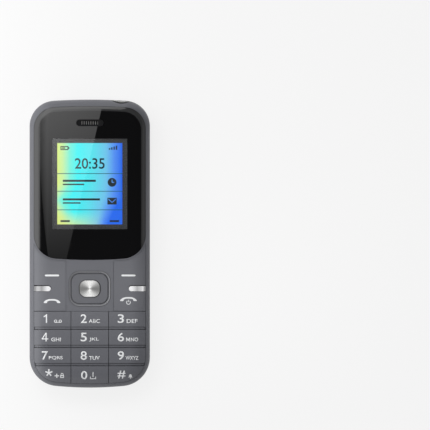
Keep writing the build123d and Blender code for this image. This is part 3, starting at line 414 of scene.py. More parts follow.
def words(text, box, weight):
    """Words that just fill a box, given as left, foot, right and head in metres."""
    curve = bpy.data.curves.new("words", "FONT")
    curve.body = text
    curve.resolution_u = 5
    curve.offset = weight
    mesh = flat_mesh(curve)
    left = min(v.co.x for v in mesh.vertices)
    right = max(v.co.x for v in mesh.vertices)
    foot = min(v.co.y for v in mesh.vertices)
    head = max(v.co.y for v in mesh.vertices)
    wide = (box[2] - box[0]) / (right - left)
    high = (box[3] - box[1]) / (head - foot)
    mesh.transform(Matrix.Translation((box[0], box[1], 0)) @ Matrix.Diagonal((wide, high, 1, 1))
                   @ Matrix.Translation((-left, -foot, 0)))
    return mesh


def outlines(loops, centre=(0.0, 0.0), smooth=False):
    """Filled outlines round a centre, in millimetres. A loop inside another one is a hole in it."""
    curve = bpy.data.curves.new("outlines", "CURVE")
    curve.dimensions = "2D"
    curve.fill_mode = "BOTH"
    curve.resolution_u = 6
    for loop in loops:
        spline = curve.splines.new("BEZIER")
        spline.bezier_points.add(len(loop) - 1)
        spline.use_cyclic_u = True
        for point, (x, y) in zip(spline.bezier_points, loop):
            point.co = (centre[0] + x * mm, centre[1] + y * mm, 0)
            point.handle_left_type = point.handle_right_type = "AUTO" if smooth else "VECTOR"
    return flat_mesh(curve)


def bar(left, foot, right, head):
    """The four corners of a bar."""
    return [(left, foot), (right, foot), (right, head), (left, head)]


def circle(radius, centre=(0.0, 0.0), points=8):
    """Points round a circle."""
    return [(centre[0] + radius * cos(2 * pi * i / points), centre[1] + radius * sin(2 * pi * i / points))
            for i in range(points)]


def top_of(name):
    """The surface of a solid, for a print to lie on."""
    mesh = solids[name].data
    return BVHTree.FromPolygons([v.co.copy() for v in mesh.vertices], [list(face.vertices) for face in mesh.polygons])


print_cell = 0.6 * mm
above_all = 30 * mm


def printed(name, meshes, finish, body, level=None, lift=0.02 * mm, sink=0.03 * mm):
    """Lays flat marks as one thin closed print, at a level or else along the top of the body's own solid."""
    shape = bmesh.new()
    for mesh in meshes:
        shape.from_mesh(mesh)
    bmesh.ops.remove_doubles(shape, verts=shape.verts, dist=0.0005 * mm)
    follows = level is None
    if follows:
        top = top_of(body)
        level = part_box(body)[1].z
        for axis, normal in enumerate((Vector((1, 0, 0)), Vector((0, 1, 0)))):
            low = min(v.co[axis] for v in shape.verts)
            high = max(v.co[axis] for v in shape.verts)
            for cut in range(1, int((high - low) / print_cell) + 1):
                everything = shape.verts[:] + shape.edges[:] + shape.faces[:]
                bmesh.ops.bisect_plane(shape, geom=everything, plane_co=normal * (low + cut * print_cell),
                                       plane_no=normal, dist=0.0002 * mm)
    for vertex in shape.verts:
        place = vertex.co
        met = follows and top.ray_cast(Vector((place.x, place.y, above_all)), Vector((0, 0, -1)))[0]
        place.z = met.z if met else level
    lower = shape.verts[:]
    grown = bmesh.ops.extrude_face_region(shape, geom=shape.faces[:], use_keep_orig=True)["geom"]
    for vertex in grown:
        if isinstance(vertex, bmesh.types.BMVert):
            vertex.co.z += lift
    for vertex in lower:
        vertex.co.z -= sink
    return finished(name, shape, finish, body)


mark_finish = Finish("dark_pixels", roughness=0.5, emission_strength=1.0)
mark_share = mark_finish.noise(0.3 * mm, 2.0) * 0.4 + 0.8
mark_finish.set(
    base_color=mark_finish.shade((0.004, 0.006, 0.008), mark_share),
    emission_color=mark_finish.shade((0.004, 0.012, 0.016), mark_share),
)
row_finish = Finish("row_pixels", base_color=(0.0, 0.01, 0.015), roughness=0.5, emission_strength=1.0)
row_share = row_finish.noise(6 * mm, 2.0) * 0.5 + 0.75
row_finish.set(emission_color=row_finish.shade((0.004, 0.09, 0.13), row_share))
marks_level = picture_bottom + picture_depth
marks_lift = 0.015 * mm
clock_box = (-6.4 * mm, 32.2 * mm, 6.4 * mm, 36.8 * mm)
clock_weight = 0.01
alarm_centre = (9.6 * mm, 26.4 * mm)
letter_centre = (9.6 * mm, 18.3 * mm)
clock_hands = [(-0.16, -0.18), (0.95, -0.18), (0.95, 0.14), (0.16, 0.14), (0.16, 1.2), (-0.16, 1.2)]
letter_flap = [(-1.6, 1.1), (0.0, -0.35), (1.6, 1.1), (1.6, 0.66), (0.0, -0.79), (-1.6, 0.66)]
note_lines = [bar(-11.6, 26.6, 2.6, 27.5), bar(-11.6, 25.2, -2.4, 25.8),
              bar(-11.6, 18.6, 4.4, 19.5), bar(-11.6, 17.2, -4.0, 17.8)]
screen_marks = [outlines([bar(8.2 + i, 40.4, 8.8 + i, 41.1 + 0.35 * i)]) for i in range(4)] + [
    outlines([bar(-12.6, 40.3, -9.2, 42.0), bar(-12.2, 40.7, -9.6, 41.6)]),
    outlines([bar(-9.2, 40.8, -8.8, 41.5), bar(-11.9, 40.9, -10.6, 41.4)]),
    words("20:35", clock_box, clock_weight),
    outlines([circle(1.9, points=24), clock_hands], alarm_centre),
    outlines([bar(-2.0, -1.45, 2.0, 1.45), letter_flap], letter_centre),
    outlines(note_lines),
    outlines([bar(-12.6, 9.3, -8.6, 10.1), bar(8.6, 9.3, 12.6, 10.1)]),
]
marks = printed("screen_marks", screen_marks, mark_finish, "root", level=marks_level, lift=marks_lift, sink=0.0)
row_lines = [outlines([bar(-14.0, y, 14.0, y + 0.3)]) for y in (30.0, 22.4, 14.4)]
lines = printed("screen_rows", row_lines, row_finish, "root", level=marks_level, lift=marks_lift / 2, sink=0.0)


# Backlight and display tail
# A white moulded light guide under the display glass, and the amber polyimide tail
# with its copper tracks that folds down to the board.
guide_white = (0.78, 0.78, 0.76)
light_guide_finish = moulded("milky_light_guide", guide_white, 0.45, 0.5 * mm, 0.004 * mm, subsurface_weight=0.1)
dress(light_guide_finish, "lcd_backlight")

film_amber = (0.42, 0.17, 0.03)
track_copper = (0.62, 0.30, 0.10)
track_pitch = 0.6 * mm
tail_finish = Finish("amber_film", coat_weight=0.3)
is_track = (tail_finish.axis("X") * (2 * pi / track_pitch)).maths("SINE") > 0.1
tail_finish.set(
    base_color=tail_finish.between(film_amber, track_copper, is_track * 0.7),
    roughness=tail_finish.noise(mm, 3.0) * 0.2 + 0.25,
)
tail_finish.relief(is_track, 0.01 * mm)
dress(tail_finish, "lcd_flex")


# Main board
# A green circuit board with a solder mask over its copper. The tracks show as raised,
# slightly lighter lines, and bare pads as small tinned squares.
board_green = (0.010, 0.10, 0.042)
track_green = (0.022, 0.18, 0.075)
pad_tin = (0.55, 0.55, 0.52)
pads_per_metre, pad_reach = 420.0, 0.16
tracks_per_metre, track_reach = 260.0, 0.12
board_finish = Finish("solder_mask", coat_weight=0.5, coat_roughness=0.15)
cells = board_finish.node("ShaderNodeTexVoronoi", {"distance": "MANHATTAN", "feature": "F1"}, {
    "Vector": board_finish.place, "Scale": pads_per_metre, "Randomness": 0.35})
pads = cells < pad_reach
streets = board_finish.node("ShaderNodeTexVoronoi", {"distance": "MANHATTAN", "feature": "DISTANCE_TO_EDGE"}, {
    "Vector": board_finish.place, "Scale": tracks_per_metre, "Randomness": 0.8})
tracks = streets < track_reach
board_finish.set(
    base_color=board_finish.between(board_finish.between(board_green, track_green, tracks), pad_tin, pads),
    metallic=pads * 0.9,
    roughness=board_finish.noise(3 * mm, 3.0) * 0.2 + 0.25,
)
board_finish.relief(tracks + pads, 0.02 * mm)
dress(board_finish, "main_pcb")


# Dome sheet and key mat
# Sprung steel domes under a clear film, and the milky silicone mat with a stem below
# every key. The mat is matt, dusty and a little uneven.
def metal(name, colour, roughness, grain_shares, grain, uneven=0.12, **sockets):
    """Bare or plated metal, rolled or brushed along one direction."""
    finish = Finish(name, metallic=1.0, **sockets)
    brushed = finish.noise(grain, 4.0, finish.stretched(grain_shares))
    slow = finish.noise(7 * mm, 3.0)
    finish.set(
        base_color=finish.shade(colour, brushed * uneven + slow * uneven + (1 - uneven)),
        roughness=brushed * 0.16 + slow * 0.1 + (roughness - 0.13),
    )
    finish.relief(brushed, 0.003 * mm)
    return finish


dome_finish = metal("sprung_steel", (0.58, 0.57, 0.54), 0.32, (1.0, 8.0, 1.0), 0.8 * mm,
                    coat_weight=0.8, coat_roughness=0.1)
dress(dome_finish, "dome_sheet")
mat_finish = moulded("milky_silicone", (0.46, 0.46, 0.48), 0.75, 0.4 * mm, 0.006 * mm, 0.08, subsurface_weight=0.08)
dress(mat_finish, "keymat")


# Keys
# Twelve number keys and two function keys, moulded in satin slate plastic. They press
# down on the silicone stems, and their tops follow the front. A thin dark line of
# painted shadow lies along the step to the ledge of each key in the upper three rows.
key_slate = (0.140, 0.143, 0.161)
satin_grain = 0.13 * mm
key_relief = 0.004 * mm
rows_head = -29.1 * mm
row_pitch = 7.83 * mm
rows_with_shadow = 3.0
step_share = 0.86
step_width = 0.17 * mm
step_shadow_darkness = 0.62
key_finish = grained("satin_key_slate", 0.42, satin_grain, key_relief, coat_weight=0.2, coat_roughness=0.3)
# Painted shadow: a dark line along the step of each ledge in the upper three rows.
rows_down = (rows_head - key_finish.axis("Y")) / row_pitch
painted_step_shadow = (1 - abs(rows_down.maths("FRACT") - step_share) * (row_pitch / step_width)).floored(0.0)
in_rows = (rows_down > 0.0) * (rows_down < rows_with_shadow)
key_grain = key_finish.fine * 0.04 + 0.98
key_finish.set(base_color=key_finish.shade(key_slate, key_grain * (1 - painted_step_shadow * in_rows * step_shadow_darkness)))
number_keys = [f"key_{mark}" for mark in (*range(10), "star", "hash")]
dress(key_finish, *number_keys, "left_function_key", "right_function_key")


# Legends on the number keys
# White ink, pad printed on the keys: a large figure at the left of each key with its
# letters or small signs beside it. The ink lies a few hundredths of a millimetre proud.
ink_finish = Finish("white_ink", roughness=0.5)
ink_cover = ink_finish.noise(0.25 * mm, 3.0)
ink_finish.set(
    base_color=ink_finish.shade((0.86, 0.87, 0.88), ink_cover * 0.12 + 0.94),
    roughness=ink_cover * 0.2 + 0.4,
)
ink_finish.relief(ink_cover, 0.003 * mm)

figure_height = 3.75 * mm
letter_height = 1.65 * mm
figure_weight = 0.012
letter_weight = 0.016
figure_one = [(0.0, 0.0), (0.52, 0.0), (0.52, 3.75), (0.12, 3.75), (-0.3, 3.3),
              (-0.95, 2.9), (-0.95, 2.45), (-0.4, 2.62), (0.0, 2.9)]
figure_four = [(1.62, 0.0), (2.1, 0.0), (2.1, 0.86), (2.75, 0.86), (2.75, 1.3), (2.1, 1.3),
               (2.1, 3.75), (1.62, 3.75), (0.0, 1.3), (0.0, 0.86), (1.62, 0.86)]
four_eye = [(1.62, 1.3), (1.62, 3.0), (0.52, 1.3)]
letter_m = [(0.0, 0.0), (0.0, 1.65), (0.38, 1.65), (0.85, 0.75), (1.32, 1.65), (1.7, 1.65), (1.7, 0.0),
            (1.4, 0.0), (1.4, 1.1), (0.95, 0.22), (0.75, 0.22), (0.3, 1.1), (0.3, 0.0)]
one_left = -18.9 * mm
letter_m_left = 15.65 * mm
reels_centre_x = -13.7 * mm
reels_rise = 0.75 * mm
row_feet = (-34.15 * mm, -42.1 * mm, -50.05 * mm)
figure_places = ((-20.65, -17.95), (-3.9, -1.2), (12.05, 14.8))
letter_places = (
    ("", 0.0, 0.0), ("ABC", -0.45, 4.4), ("DEF", 15.9, 20.6), ("GHI", -16.6, -12.4), ("JKL", -0.15, 3.9),
    ("NO", 17.75, 20.85), ("PQRS", -17.6, -11.6), ("TUV", -0.25, 4.3), ("WXYZ", 15.45, 21.0))
for number, (letters, letters_left, letters_right) in enumerate(letter_places, start=1):
    row, column = divmod(number - 1, 3)
    foot = row_feet[row]
    figure_left, figure_right = (place * mm for place in figure_places[column])
    if number == 1:
        legend = [outlines([figure_one], (one_left, foot))]
    elif number == 4:
        legend = [outlines([figure_four, four_eye], (figure_left, foot))]
    else:
        legend = [words(str(number), (figure_left, foot, figure_right, foot + figure_height), figure_weight)]
    if letters:
        letters_box = (letters_left * mm, foot, letters_right * mm, foot + letter_height)
        legend.append(words(letters, letters_box, letter_weight))
    else:
        reels = (reels_centre_x, foot + reels_rise)
        legend.append(outlines([circle(0.66, (-1.0, 0.0)), circle(0.36, (-1.0, 0.06)),
                                circle(0.66, (1.0, 0.0)), circle(0.36, (1.0, 0.06))], reels, smooth=True))
        legend.append(outlines([bar(-1.0, -0.66, 1.0, -0.42)], reels))
    if number == 6:
        legend.append(outlines([letter_m], (letter_m_left, foot)))
    printed(f"key_{number}_legend", legend, ink_finish, f"key_{number}")

star_centre = (-17.6 * mm, -55.6 * mm)
star_reach, star_half_width = 1.6, 0.28
star_arms = []
for arm in range(5):
    turn = pi / 2 + arm * 2 * pi / 5
    arm_loop = [(side * star_half_width * sin(turn) + reach * cos(turn),
                 -side * star_half_width * cos(turn) + reach * sin(turn))
                for side, reach in ((1, 0.0), (1, star_reach), (-1, star_reach), (-1, 0.0))]
    star_arms.append(outlines([arm_loop], star_centre))
plus_centre = (-14.2 * mm, -56.9 * mm)
plus_mark = outlines([[(-0.95, -0.22), (-0.22, -0.22), (-0.22, -0.9), (0.22, -0.9), (0.22, -0.22), (0.95, -0.22),
                       (0.95, 0.22), (0.22, 0.22), (0.22, 0.9), (-0.22, 0.9), (-0.22, 0.22), (-0.95, 0.22)]],
                     plus_centre)
lock_centre = (-11.9 * mm, -56.7 * mm)
lock_body = outlines([bar(-0.8, -1.1, 0.8, 0.1), bar(-0.42, -0.78, 0.42, -0.26)], lock_centre)
lock_bow = outlines([[(-0.58, 0.1), (-0.58, 0.6), (-0.32, 1.0), (0.32, 1.0), (0.58, 0.6), (0.58, 0.1),
                      (0.3, 0.1), (0.3, 0.52), (0.16, 0.72), (-0.16, 0.72), (-0.3, 0.52), (-0.3, 0.1)]], lock_centre)
printed("key_star_legend", star_arms + [plus_mark, lock_body, lock_bow], ink_finish, "key_star")

zero_box = (-3.72 * mm, -58.4 * mm, -1.03 * mm, -54.85 * mm)
space_centre = (1.4 * mm, -56.8 * mm)
space_mark = outlines([[(-1.28, -0.45), (-1.28, -1.5), (1.28, -1.5), (1.28, -0.45), (0.98, -0.45), (0.98, -1.2),
                        (-0.98, -1.2), (-0.98, -0.45)]], space_centre)
space_stem = outlines([bar(-0.18, -0.6, 0.18, 1.5)], space_centre)
printed("key_0_legend", [words("0", zero_box, figure_weight), space_mark, space_stem], ink_finish, "key_0")

hash_box = (11.95 * mm, -58.1 * mm, 15.45 * mm, -54.7 * mm)
bell_centre = (17.5 * mm, -57.0 * mm)
bell_mark = outlines([[(-0.95, -0.6), (-0.65, -0.25), (-0.55, 0.35), (-0.25, 0.75), (0.25, 0.75), (0.55, 0.35),
                       (0.65, -0.25), (0.95, -0.6)]], bell_centre)
bell_clapper = outlines([circle(0.24, (0.0, -0.88))], bell_centre, smooth=True)
printed("key_hash_legend", [words("#", hash_box, figure_weight), bell_mark, bell_clapper], ink_finish, "key_hash")


# Marks on the function keys
# A white dash for each soft key above the chrome bar, and a handset below it, in the
# same ink. A small power ring sits under the right handset.
handset_half = ((0.0, 0.87), (1.4, 0.8), (2.5, 0.42), (3.25, -0.1), (3.6, -0.62), (3.5, -0.88), (2.3, -0.88),
                (2.12, -0.65), (1.95, -0.15), (1.2, 0.12), (0.0, 0.18))
handset_loop = [*handset_half, *((-x, y) for x, y in reversed(handset_half[1:-1]))]
dash_point, dash_shoulder, dash_rise = 3.15, 2.75, 0.4
dash_loop = [(-dash_point, 0.0), (-dash_shoulder, -dash_rise), (dash_shoulder, -dash_rise),
             (dash_point, 0.0), (dash_shoulder, dash_rise), (-dash_shoulder, dash_rise)]
dash_y = -13.7 * mm
power_y = -25.3 * mm
power_outer, power_inner = 0.95, 0.68
power_gap = radians(35)
power_turns = [pi / 2 + power_gap + (2 * pi - 2 * power_gap) * i / 16 for i in range(17)]
power_ring = [(power_outer * cos(turn), power_outer * sin(turn)) for turn in power_turns]
power_ring += [(power_inner * cos(turn), power_inner * sin(turn)) for turn in reversed(power_turns)]
for name, mark_x, handset_y in (("left_function_key", -16.25, -24.7), ("right_function_key", 16.65, -23.85)):
    function_marks = [outlines([dash_loop], (mark_x * mm, dash_y)),
                      outlines([handset_loop], (mark_x * mm, handset_y * mm))]
    if name == "right_function_key":
        function_marks += [outlines([power_ring], (mark_x * mm, power_y)),
                           outlines([bar(-0.14, 0.15, 0.14, 1.1)], (mark_x * mm, power_y))]
    printed(f"{name}_marks", function_marks, ink_finish, name)


# Chrome bars
# Plated bars let into the function keys, with a rounded inner end. The plating is
# bright, with a slight haze where thumbs pass over it. Its darker and lighter stretches
# along each bar are a painted reflection.
chrome_finish = Finish("bright_plating", metallic=1.0)
bar_reach = 24.0 * mm
bar_share = chrome_finish.axis("X") / (2 * bar_reach) + 0.5
# Painted reflection: dark and bright stretches of colour along each bar.
painted_reflection_ramp = chrome_finish.node("ShaderNodeValToRGB", {"stops": (
    (0.0, (0.26, 0.26, 0.265)),
    (0.07, (0.38, 0.38, 0.385)),
    (0.12, (0.88, 0.88, 0.89)),
    (0.88, (0.92, 0.92, 0.93)),
    (0.925, (0.48, 0.48, 0.485)),
    (1.0, (0.92, 0.92, 0.93)),
)}, {"Fac": bar_share})
thumbed = chrome_finish.noise(1.5 * mm, 4.0)
chrome_finish.set(base_color=chrome_finish.shade(painted_reflection_ramp, thumbed * 0.08 + 0.95), roughness=thumbed * 0.12 + 0.14)
chrome_finish.relief(thumbed, 0.001 * mm)
dress(chrome_finish, "left_chrome_bar", "right_chrome_bar")


# Navigation keys
# A bevelled bezel in a lighter slate, partly a painted highlight of its bevel, with a
# painted shadow along its outline, a ring that rocks four ways and, in its middle, a spun
# steel key with fine turning marks, whose two bright fans and bright centre are painted
# highlights. A rubber pad carries the ring.
# The bezel's light slate is partly its own tone and partly a painted highlight of its bevel.
bezel_slate_with_painted_highlight = (0.255, 0.258, 0.275)
bezel_middle = -19.4 * mm
bezel_side, bezel_head, bezel_corner = 8.95 * mm, 7.575 * mm, 4.6 * mm
outline_width = 0.3 * mm
outline_shadow_darkness = 0.75
bezel_finish = grained("satin_bezel_slate", 0.36, satin_grain, 0.003 * mm, coat_weight=0.3, coat_roughness=0.2)
bezel_place = bezel_finish.stretched((1.0, 1.0, 1.0), (0.0, bezel_middle, 0.0))
from_outline = inside_outline(abs(bezel_finish.axis("X", bezel_place)), abs(bezel_finish.axis("Y", bezel_place)),
                              bezel_side, bezel_head, bezel_corner)
# Painted shadow: the bezel is darker within a thin band along its outline.
painted_outline_shadow = (1 - from_outline / outline_width).floored(0.0).capped(1.0)
bezel_grain = bezel_finish.fine * 0.04 + 0.98
bezel_finish.set(base_color=bezel_finish.shade(bezel_slate_with_painted_highlight, bezel_grain * (1 - painted_outline_shadow * outline_shadow_darkness)))
dress(bezel_finish, "nav_bezel")
ring_finish = moulded("satin_ring_slate", (0.130, 0.133, 0.149), 0.42, satin_grain, key_relief, 0.04)
dress(ring_finish, "nav_ring")
inner_finish = moulded("inner_black_moulding", (0.026, 0.026, 0.029), 0.6, 0.5 * mm, 0.02 * mm, 0.15)
dress(inner_finish, "nav_pad")


def turning_marks(finish, radius, rings, detail=3.0):
    """Random fine rings about an axis, as many to the metre as rings says."""
    return finish.node("ShaderNodeTexNoise", {"noise_dimensions": "1D"}, {"W": radius * rings, "Detail": detail})


ok_low, ok_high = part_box("ok_key")
ok_centre = (ok_low + ok_high) / 2
ok_steel = (0.92, 0.92, 0.91)
highlight_spot_radius = 1.3 * mm
ok_finish = Finish("spun_steel", metallic=1.0)
turned = ok_finish.stretched((1.0, 1.0, 1.0), (ok_centre.x, ok_centre.y, 0.0))
turned_x = ok_finish.axis("X", turned)
turned_y = ok_finish.axis("Y", turned)
radius = (turned_x * turned_x + turned_y * turned_y).maths("SQRT").floored(0.02 * mm)
# Painted highlights: two bright fans along Y and a bright spot at the centre.
painted_fan_highlight = (turned_y / radius) * (turned_y / radius)
grooves = turning_marks(ok_finish, radius, rings=9000.0)
painted_centre_highlight = (1 - radius / highlight_spot_radius).floored(0.0)
marks_and_painted_fans = (painted_fan_highlight * 0.72 + grooves * 0.14 + painted_centre_highlight * 0.25 + 0.16).capped(1.0)
ok_finish.set(base_color=ok_finish.shade(ok_steel, marks_and_painted_fans), roughness=grooves * 0.12 + 0.18)
ok_finish.relief(grooves, 0.003 * mm)
dress(ok_finish, "ok_key")


# Earpiece, microphone and sockets
# Pressed steel cans of the receiver and the microphone, the folded shell of the
# charging socket and the moulded body of the audio jack. They are soldered to the board.
pressed_finish = metal("pressed_steel", (0.52, 0.52, 0.51), 0.34, (1.0, 10.0, 1.0), 0.7 * mm)
dress(pressed_finish, "earpiece_receiver", "microphone", "usb_socket")
dress(inner_finish, "audio_jack")


class Pattern(Bench):
    """A repeated part as a Geometry Nodes tree with named sizes, turned into one plain mesh."""

    def __init__(self, name, **sizes):
        super().__init__(bpy.data.node_groups.new(name, "GeometryNodeTree"))
        self.name = name
        self.settings = []
        for label, value in sizes.items():
            kind = "NodeSocketVector" if isinstance(value, tuple) else "NodeSocketFloat"
            socket = self.tree.interface.new_socket(label, in_out="INPUT", socket_type=kind)
            self.settings.append((socket.identifier, value))
        self.tree.interface.new_socket("Geometry", in_out="OUTPUT", socket_type="NodeSocketGeometry")
        self.entry = self.tree.nodes.new("NodeGroupInput")

    def size(self, label):
        return Signal(self.tree, self.entry.outputs[label])

    def row(self, count, first, step, block, turn=(0.0, 0.0, 0.0)):
        """A straight row of blocks. The first place is counted from the middle."""
        start = self.node("ShaderNodeVectorMath", {"operation": "ADD"}, {
            0: self.size("Middle"), 1: self.node("ShaderNodeCombineXYZ", {}, first)})
        line = self.node("GeometryNodeMeshLine", {"mode": "OFFSET"}, {
            "Count": count, "Start Location": start, "Offset": self.node("ShaderNodeCombineXYZ", {}, step)})
        return self.node("GeometryNodeInstanceOnPoints", {}, {"Points": line, "Instance": block, "Rotation": turn})

    def piece(self, geometry, finish, body):
        """Builds the mesh, and lets it ride on a body."""
        joined = self.node("GeometryNodeRealizeInstances", {}, {0: geometry})
        dressed = self.node("GeometryNodeSetMaterial", {}, {"Geometry": joined, "Material": finish.material})
        leave = self.tree.nodes.new("NodeGroupOutput")
        connect(leave.inputs["Geometry"], dressed)
        carrier = put_in_scene(self.name, bpy.data.meshes.new(self.name))
        modifier = carrier.modifiers.new("pattern", "NODES")
        modifier.node_group = self.tree
        for identifier, value in self.settings:
            modifier[identifier] = value
        settled = carrier.evaluated_get(bpy.context.evaluated_depsgraph_get())
        mesh = bpy.data.meshes.new_from_object(settled)
        carrier.modifiers.remove(modifier)
        carrier.data = mesh
        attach(carrier, body)
        return carrier


gilt_finish = metal("gilt_contact", (0.80, 0.56, 0.24), 0.28, (1.0, 6.0, 1.0), 0.6 * mm)
usb_low, usb_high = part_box("usb_socket")
pins_inset = 2.6 * mm
pins_rise = 0.28 * mm
pin_rows = Pattern(
    "socket_pins",
    Pins=5.0, Pitch=0.65 * mm, Width=0.3 * mm, Length=3.2 * mm, Thickness=0.05 * mm,
    Middle=((usb_low.x + usb_high.x) / 2, usb_low.y + pins_inset, (usb_low.z + usb_high.z) / 2 + pins_rise))
pin_size = pin_rows.node("ShaderNodeCombineXYZ", {}, {
    "X": pin_rows.size("Width"), "Y": pin_rows.size("Length"), "Z": pin_rows.size("Thickness")})
pin_block = pin_rows.node("GeometryNodeMeshCube", {}, {"Size": pin_size})
first_pin = {"X": (pin_rows.size("Pins") - 1) * pin_rows.size("Pitch") * -0.5}
pins = pin_rows.row(pin_rows.size("Pins"), first_pin, {"X": pin_rows.size("Pitch")}, pin_block)
socket_pins = pin_rows.piece(pins, gilt_finish, "root")


# Rear chassis and antenna
# The black inner frame with the battery bay, and the antenna carrier on it, whose
# gilt tracks are printed on the moulding.
dress(inner_finish, "rear_chassis")
dress(gilt_finish, "antenna", "battery_contacts")


# Battery
# A flat cell in a dark shrink wrap. A satin label with plus and minus signs is stuck
# on its outer face, and the contacts at its head are gilt.
wrap_blue = (0.060, 0.068, 0.085)
wrap_finish = moulded("shrink_wrap", wrap_blue, 0.34, 1.6 * mm, 0.02 * mm, 0.12, coat_weight=0.4, coat_roughness=0.2)
dress(wrap_finish, "battery")
label_finish = moulded("satin_label", (0.42, 0.44, 0.46), 0.45, 0.3 * mm, 0.002 * mm, 0.04)
battery_low, battery_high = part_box("battery")
label_centre = ((battery_low.x + battery_high.x) / 2, (battery_low.y + battery_high.y) / 2)
label_width, label_length, label_corner, label_depth = 26 * mm, 40 * mm, 2.5 * mm, 0.05 * mm
label_bottom = battery_low.z - label_depth
label = plate("battery_label", label_width, label_length, label_centre, label_bottom, 2 * label_depth,
              label_finish, "battery", corner=label_corner)
label_marks = outlines([bar(-9.5, 13.0, -5.5, 14.0), bar(5.5, 13.0, 9.5, 14.0), bar(7.0, 11.5, 8.0, 13.0),
                        bar(7.0, 14.0, 8.0, 15.5), bar(-9.5, -14.5, 9.5, -13.2), bar(-9.5, -11.5, 2.0, -10.7),
                        bar(-9.5, -9.5, 5.0, -8.7)], label_centre)
label_print = printed("battery_label_marks", [label_marks], mask_finish, "battery",
                      level=label_bottom, lift=0.02 * mm, sink=0.01 * mm)


# Card sockets
# Two pressed steel cages for the cards and one for the memory card, soldered to the
# board inside the battery bay.
cage_finish = metal("rolled_cage_steel", (0.55, 0.55, 0.54), 0.3, (8.0, 1.0, 1.0), 0.9 * mm)
dress(cage_finish, "sim_socket_1", "sim_socket_2", "memory_card_socket")


# Camera and flash
# A black camera module behind a turned and blackened ring and a smoked cover disc,
# and a phosphor flash lamp beside it, under the polished camera window.
def radius_from(finish, centre, shares=(1.0, 1.0, 1.0)):
    """How far a point lies from a centre, along the axes that have a share."""
    place = finish.stretched(shares, centre)
    return finish.node("ShaderNodeVectorMath", {"operation": "LENGTH"}, {0: place}, output="Value")


dress(inner_finish, "camera_module")
ring_low, ring_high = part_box("camera_ring")
ring_centre = (ring_low + ring_high) / 2
camera_finish = Finish("black_anodising", metallic=1.0)
ring_radius = radius_from(camera_finish, (ring_centre.x, ring_centre.y, 0.0))
tool_marks = turning_marks(camera_finish, ring_radius, rings=7000.0)
camera_finish.set(
    base_color=camera_finish.shade((0.07, 0.07, 0.075), tool_marks * 0.3 + 0.85), roughness=tool_marks * 0.15 + 0.25)
camera_finish.relief(tool_marks, 0.004 * mm)
dress(camera_finish, "camera_ring")
smoked_finish = Finish("smoked_cover", base_color=(0.30, 0.31, 0.34), transmission_weight=1.0, ior=1.35)
smoked_finish.set(roughness=((smoked_finish.noise(2.5 * mm, 4.0) - 0.5) * 0.12).floored(0.0))
dress(smoked_finish, "camera_glass")
lamp_finish = Finish("phosphor_lamp", roughness=0.4, emission_strength=1.0)
phosphor = lamp_finish.noise(0.3 * mm, 3.0)
lamp_finish.set(
    base_color=lamp_finish.shade((0.88, 0.85, 0.58), phosphor * 0.2 + 0.9),
    emission_color=lamp_finish.shade((0.50, 0.48, 0.30), phosphor * 0.3 + 0.85),
)
dress(lamp_finish, "flash_led")


# Torch
# A frosted lens sits flush in the polished bezel, ringed inside to spread the light.
# The white reflector behind it is lacquered, and its lamp is a yellow phosphor dot on a
# white board. The reflector and the board have a faint painted glow.
reflector_low, reflector_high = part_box("torch_reflector")
reflector_centre = (reflector_low + reflector_high) / 2
torch_axis = ((reflector_centre.x, 0.0, reflector_centre.z), (1.0, 0.0, 1.0))
reflector_finish = Finish("white_reflector", coat_weight=0.4, coat_roughness=0.2, emission_strength=1.0)
bowl_rings = turning_marks(reflector_finish, radius_from(reflector_finish, *torch_axis), rings=3000.0, detail=2.0)
# Painted glow: the reflector emits light, though it is no lamp.
reflector_finish.set(
    base_color=reflector_finish.shade((0.88, 0.88, 0.87), bowl_rings * 0.1 + 0.9),
    roughness=bowl_rings * 0.12 + 0.3,
    emission_color=reflector_finish.shade((0.30, 0.30, 0.30), bowl_rings * 0.2 + 0.9),
)
reflector_finish.relief(bowl_rings, 0.01 * mm)
dress(reflector_finish, "torch_reflector")

dot_radius = 0.9 * mm
dot_blur = 0.5 * mm
lamp_glow = Finish("torch_lamp_and_board", roughness=0.45, emission_strength=1.0)
on_board = ((radius_from(lamp_glow, *torch_axis) - dot_radius) / dot_blur).floored(0.0).capped(1.0)
lamp_grain = lamp_glow.noise(0.3 * mm, 3.0) * 0.16 + 0.9
# Painted glow: the white board round the lamp emits light as well as the dot.
lit_colours = (("base_color", (0.88, 0.80, 0.22), (0.84, 0.84, 0.82)),
               ("emission_color", (0.50, 0.46, 0.06), (0.30, 0.30, 0.29)))
for socket_name, phosphor_yellow, board_white in lit_colours:
    lamp_glow.set(**{socket_name: lamp_glow.shade(
        lamp_glow.between(phosphor_yellow, board_white, on_board), lamp_grain)})
dress(lamp_glow, "torch_led")

lens_ring_pitch = 0.5 * mm
frosted_clear, aslant_painted_reflection = (0.96, 0.97, 0.98), (0.10, 0.10, 0.11)
frosted = Finish("ringed_torch_lens", transmission_weight=1.0, ior=1.25)
ring_waves = (radius_from(frosted, *torch_axis) * (2 * pi / lens_ring_pitch)).maths("SINE")
# Painted reflection: the lens is darker at grazing angles, as if it mirrored the dark body.
grazed = frosted.node("ShaderNodeLayerWeight", {}, {"Blend": 0.5}, output="Facing")
frosted.set(
    base_color=frosted.between(frosted_clear, aslant_painted_reflection, grazed * grazed),
    roughness=ring_waves * 0.06 + 0.22,
)
frosted.relief(ring_waves, 0.03 * mm)
dress(frosted, "torch_lens")


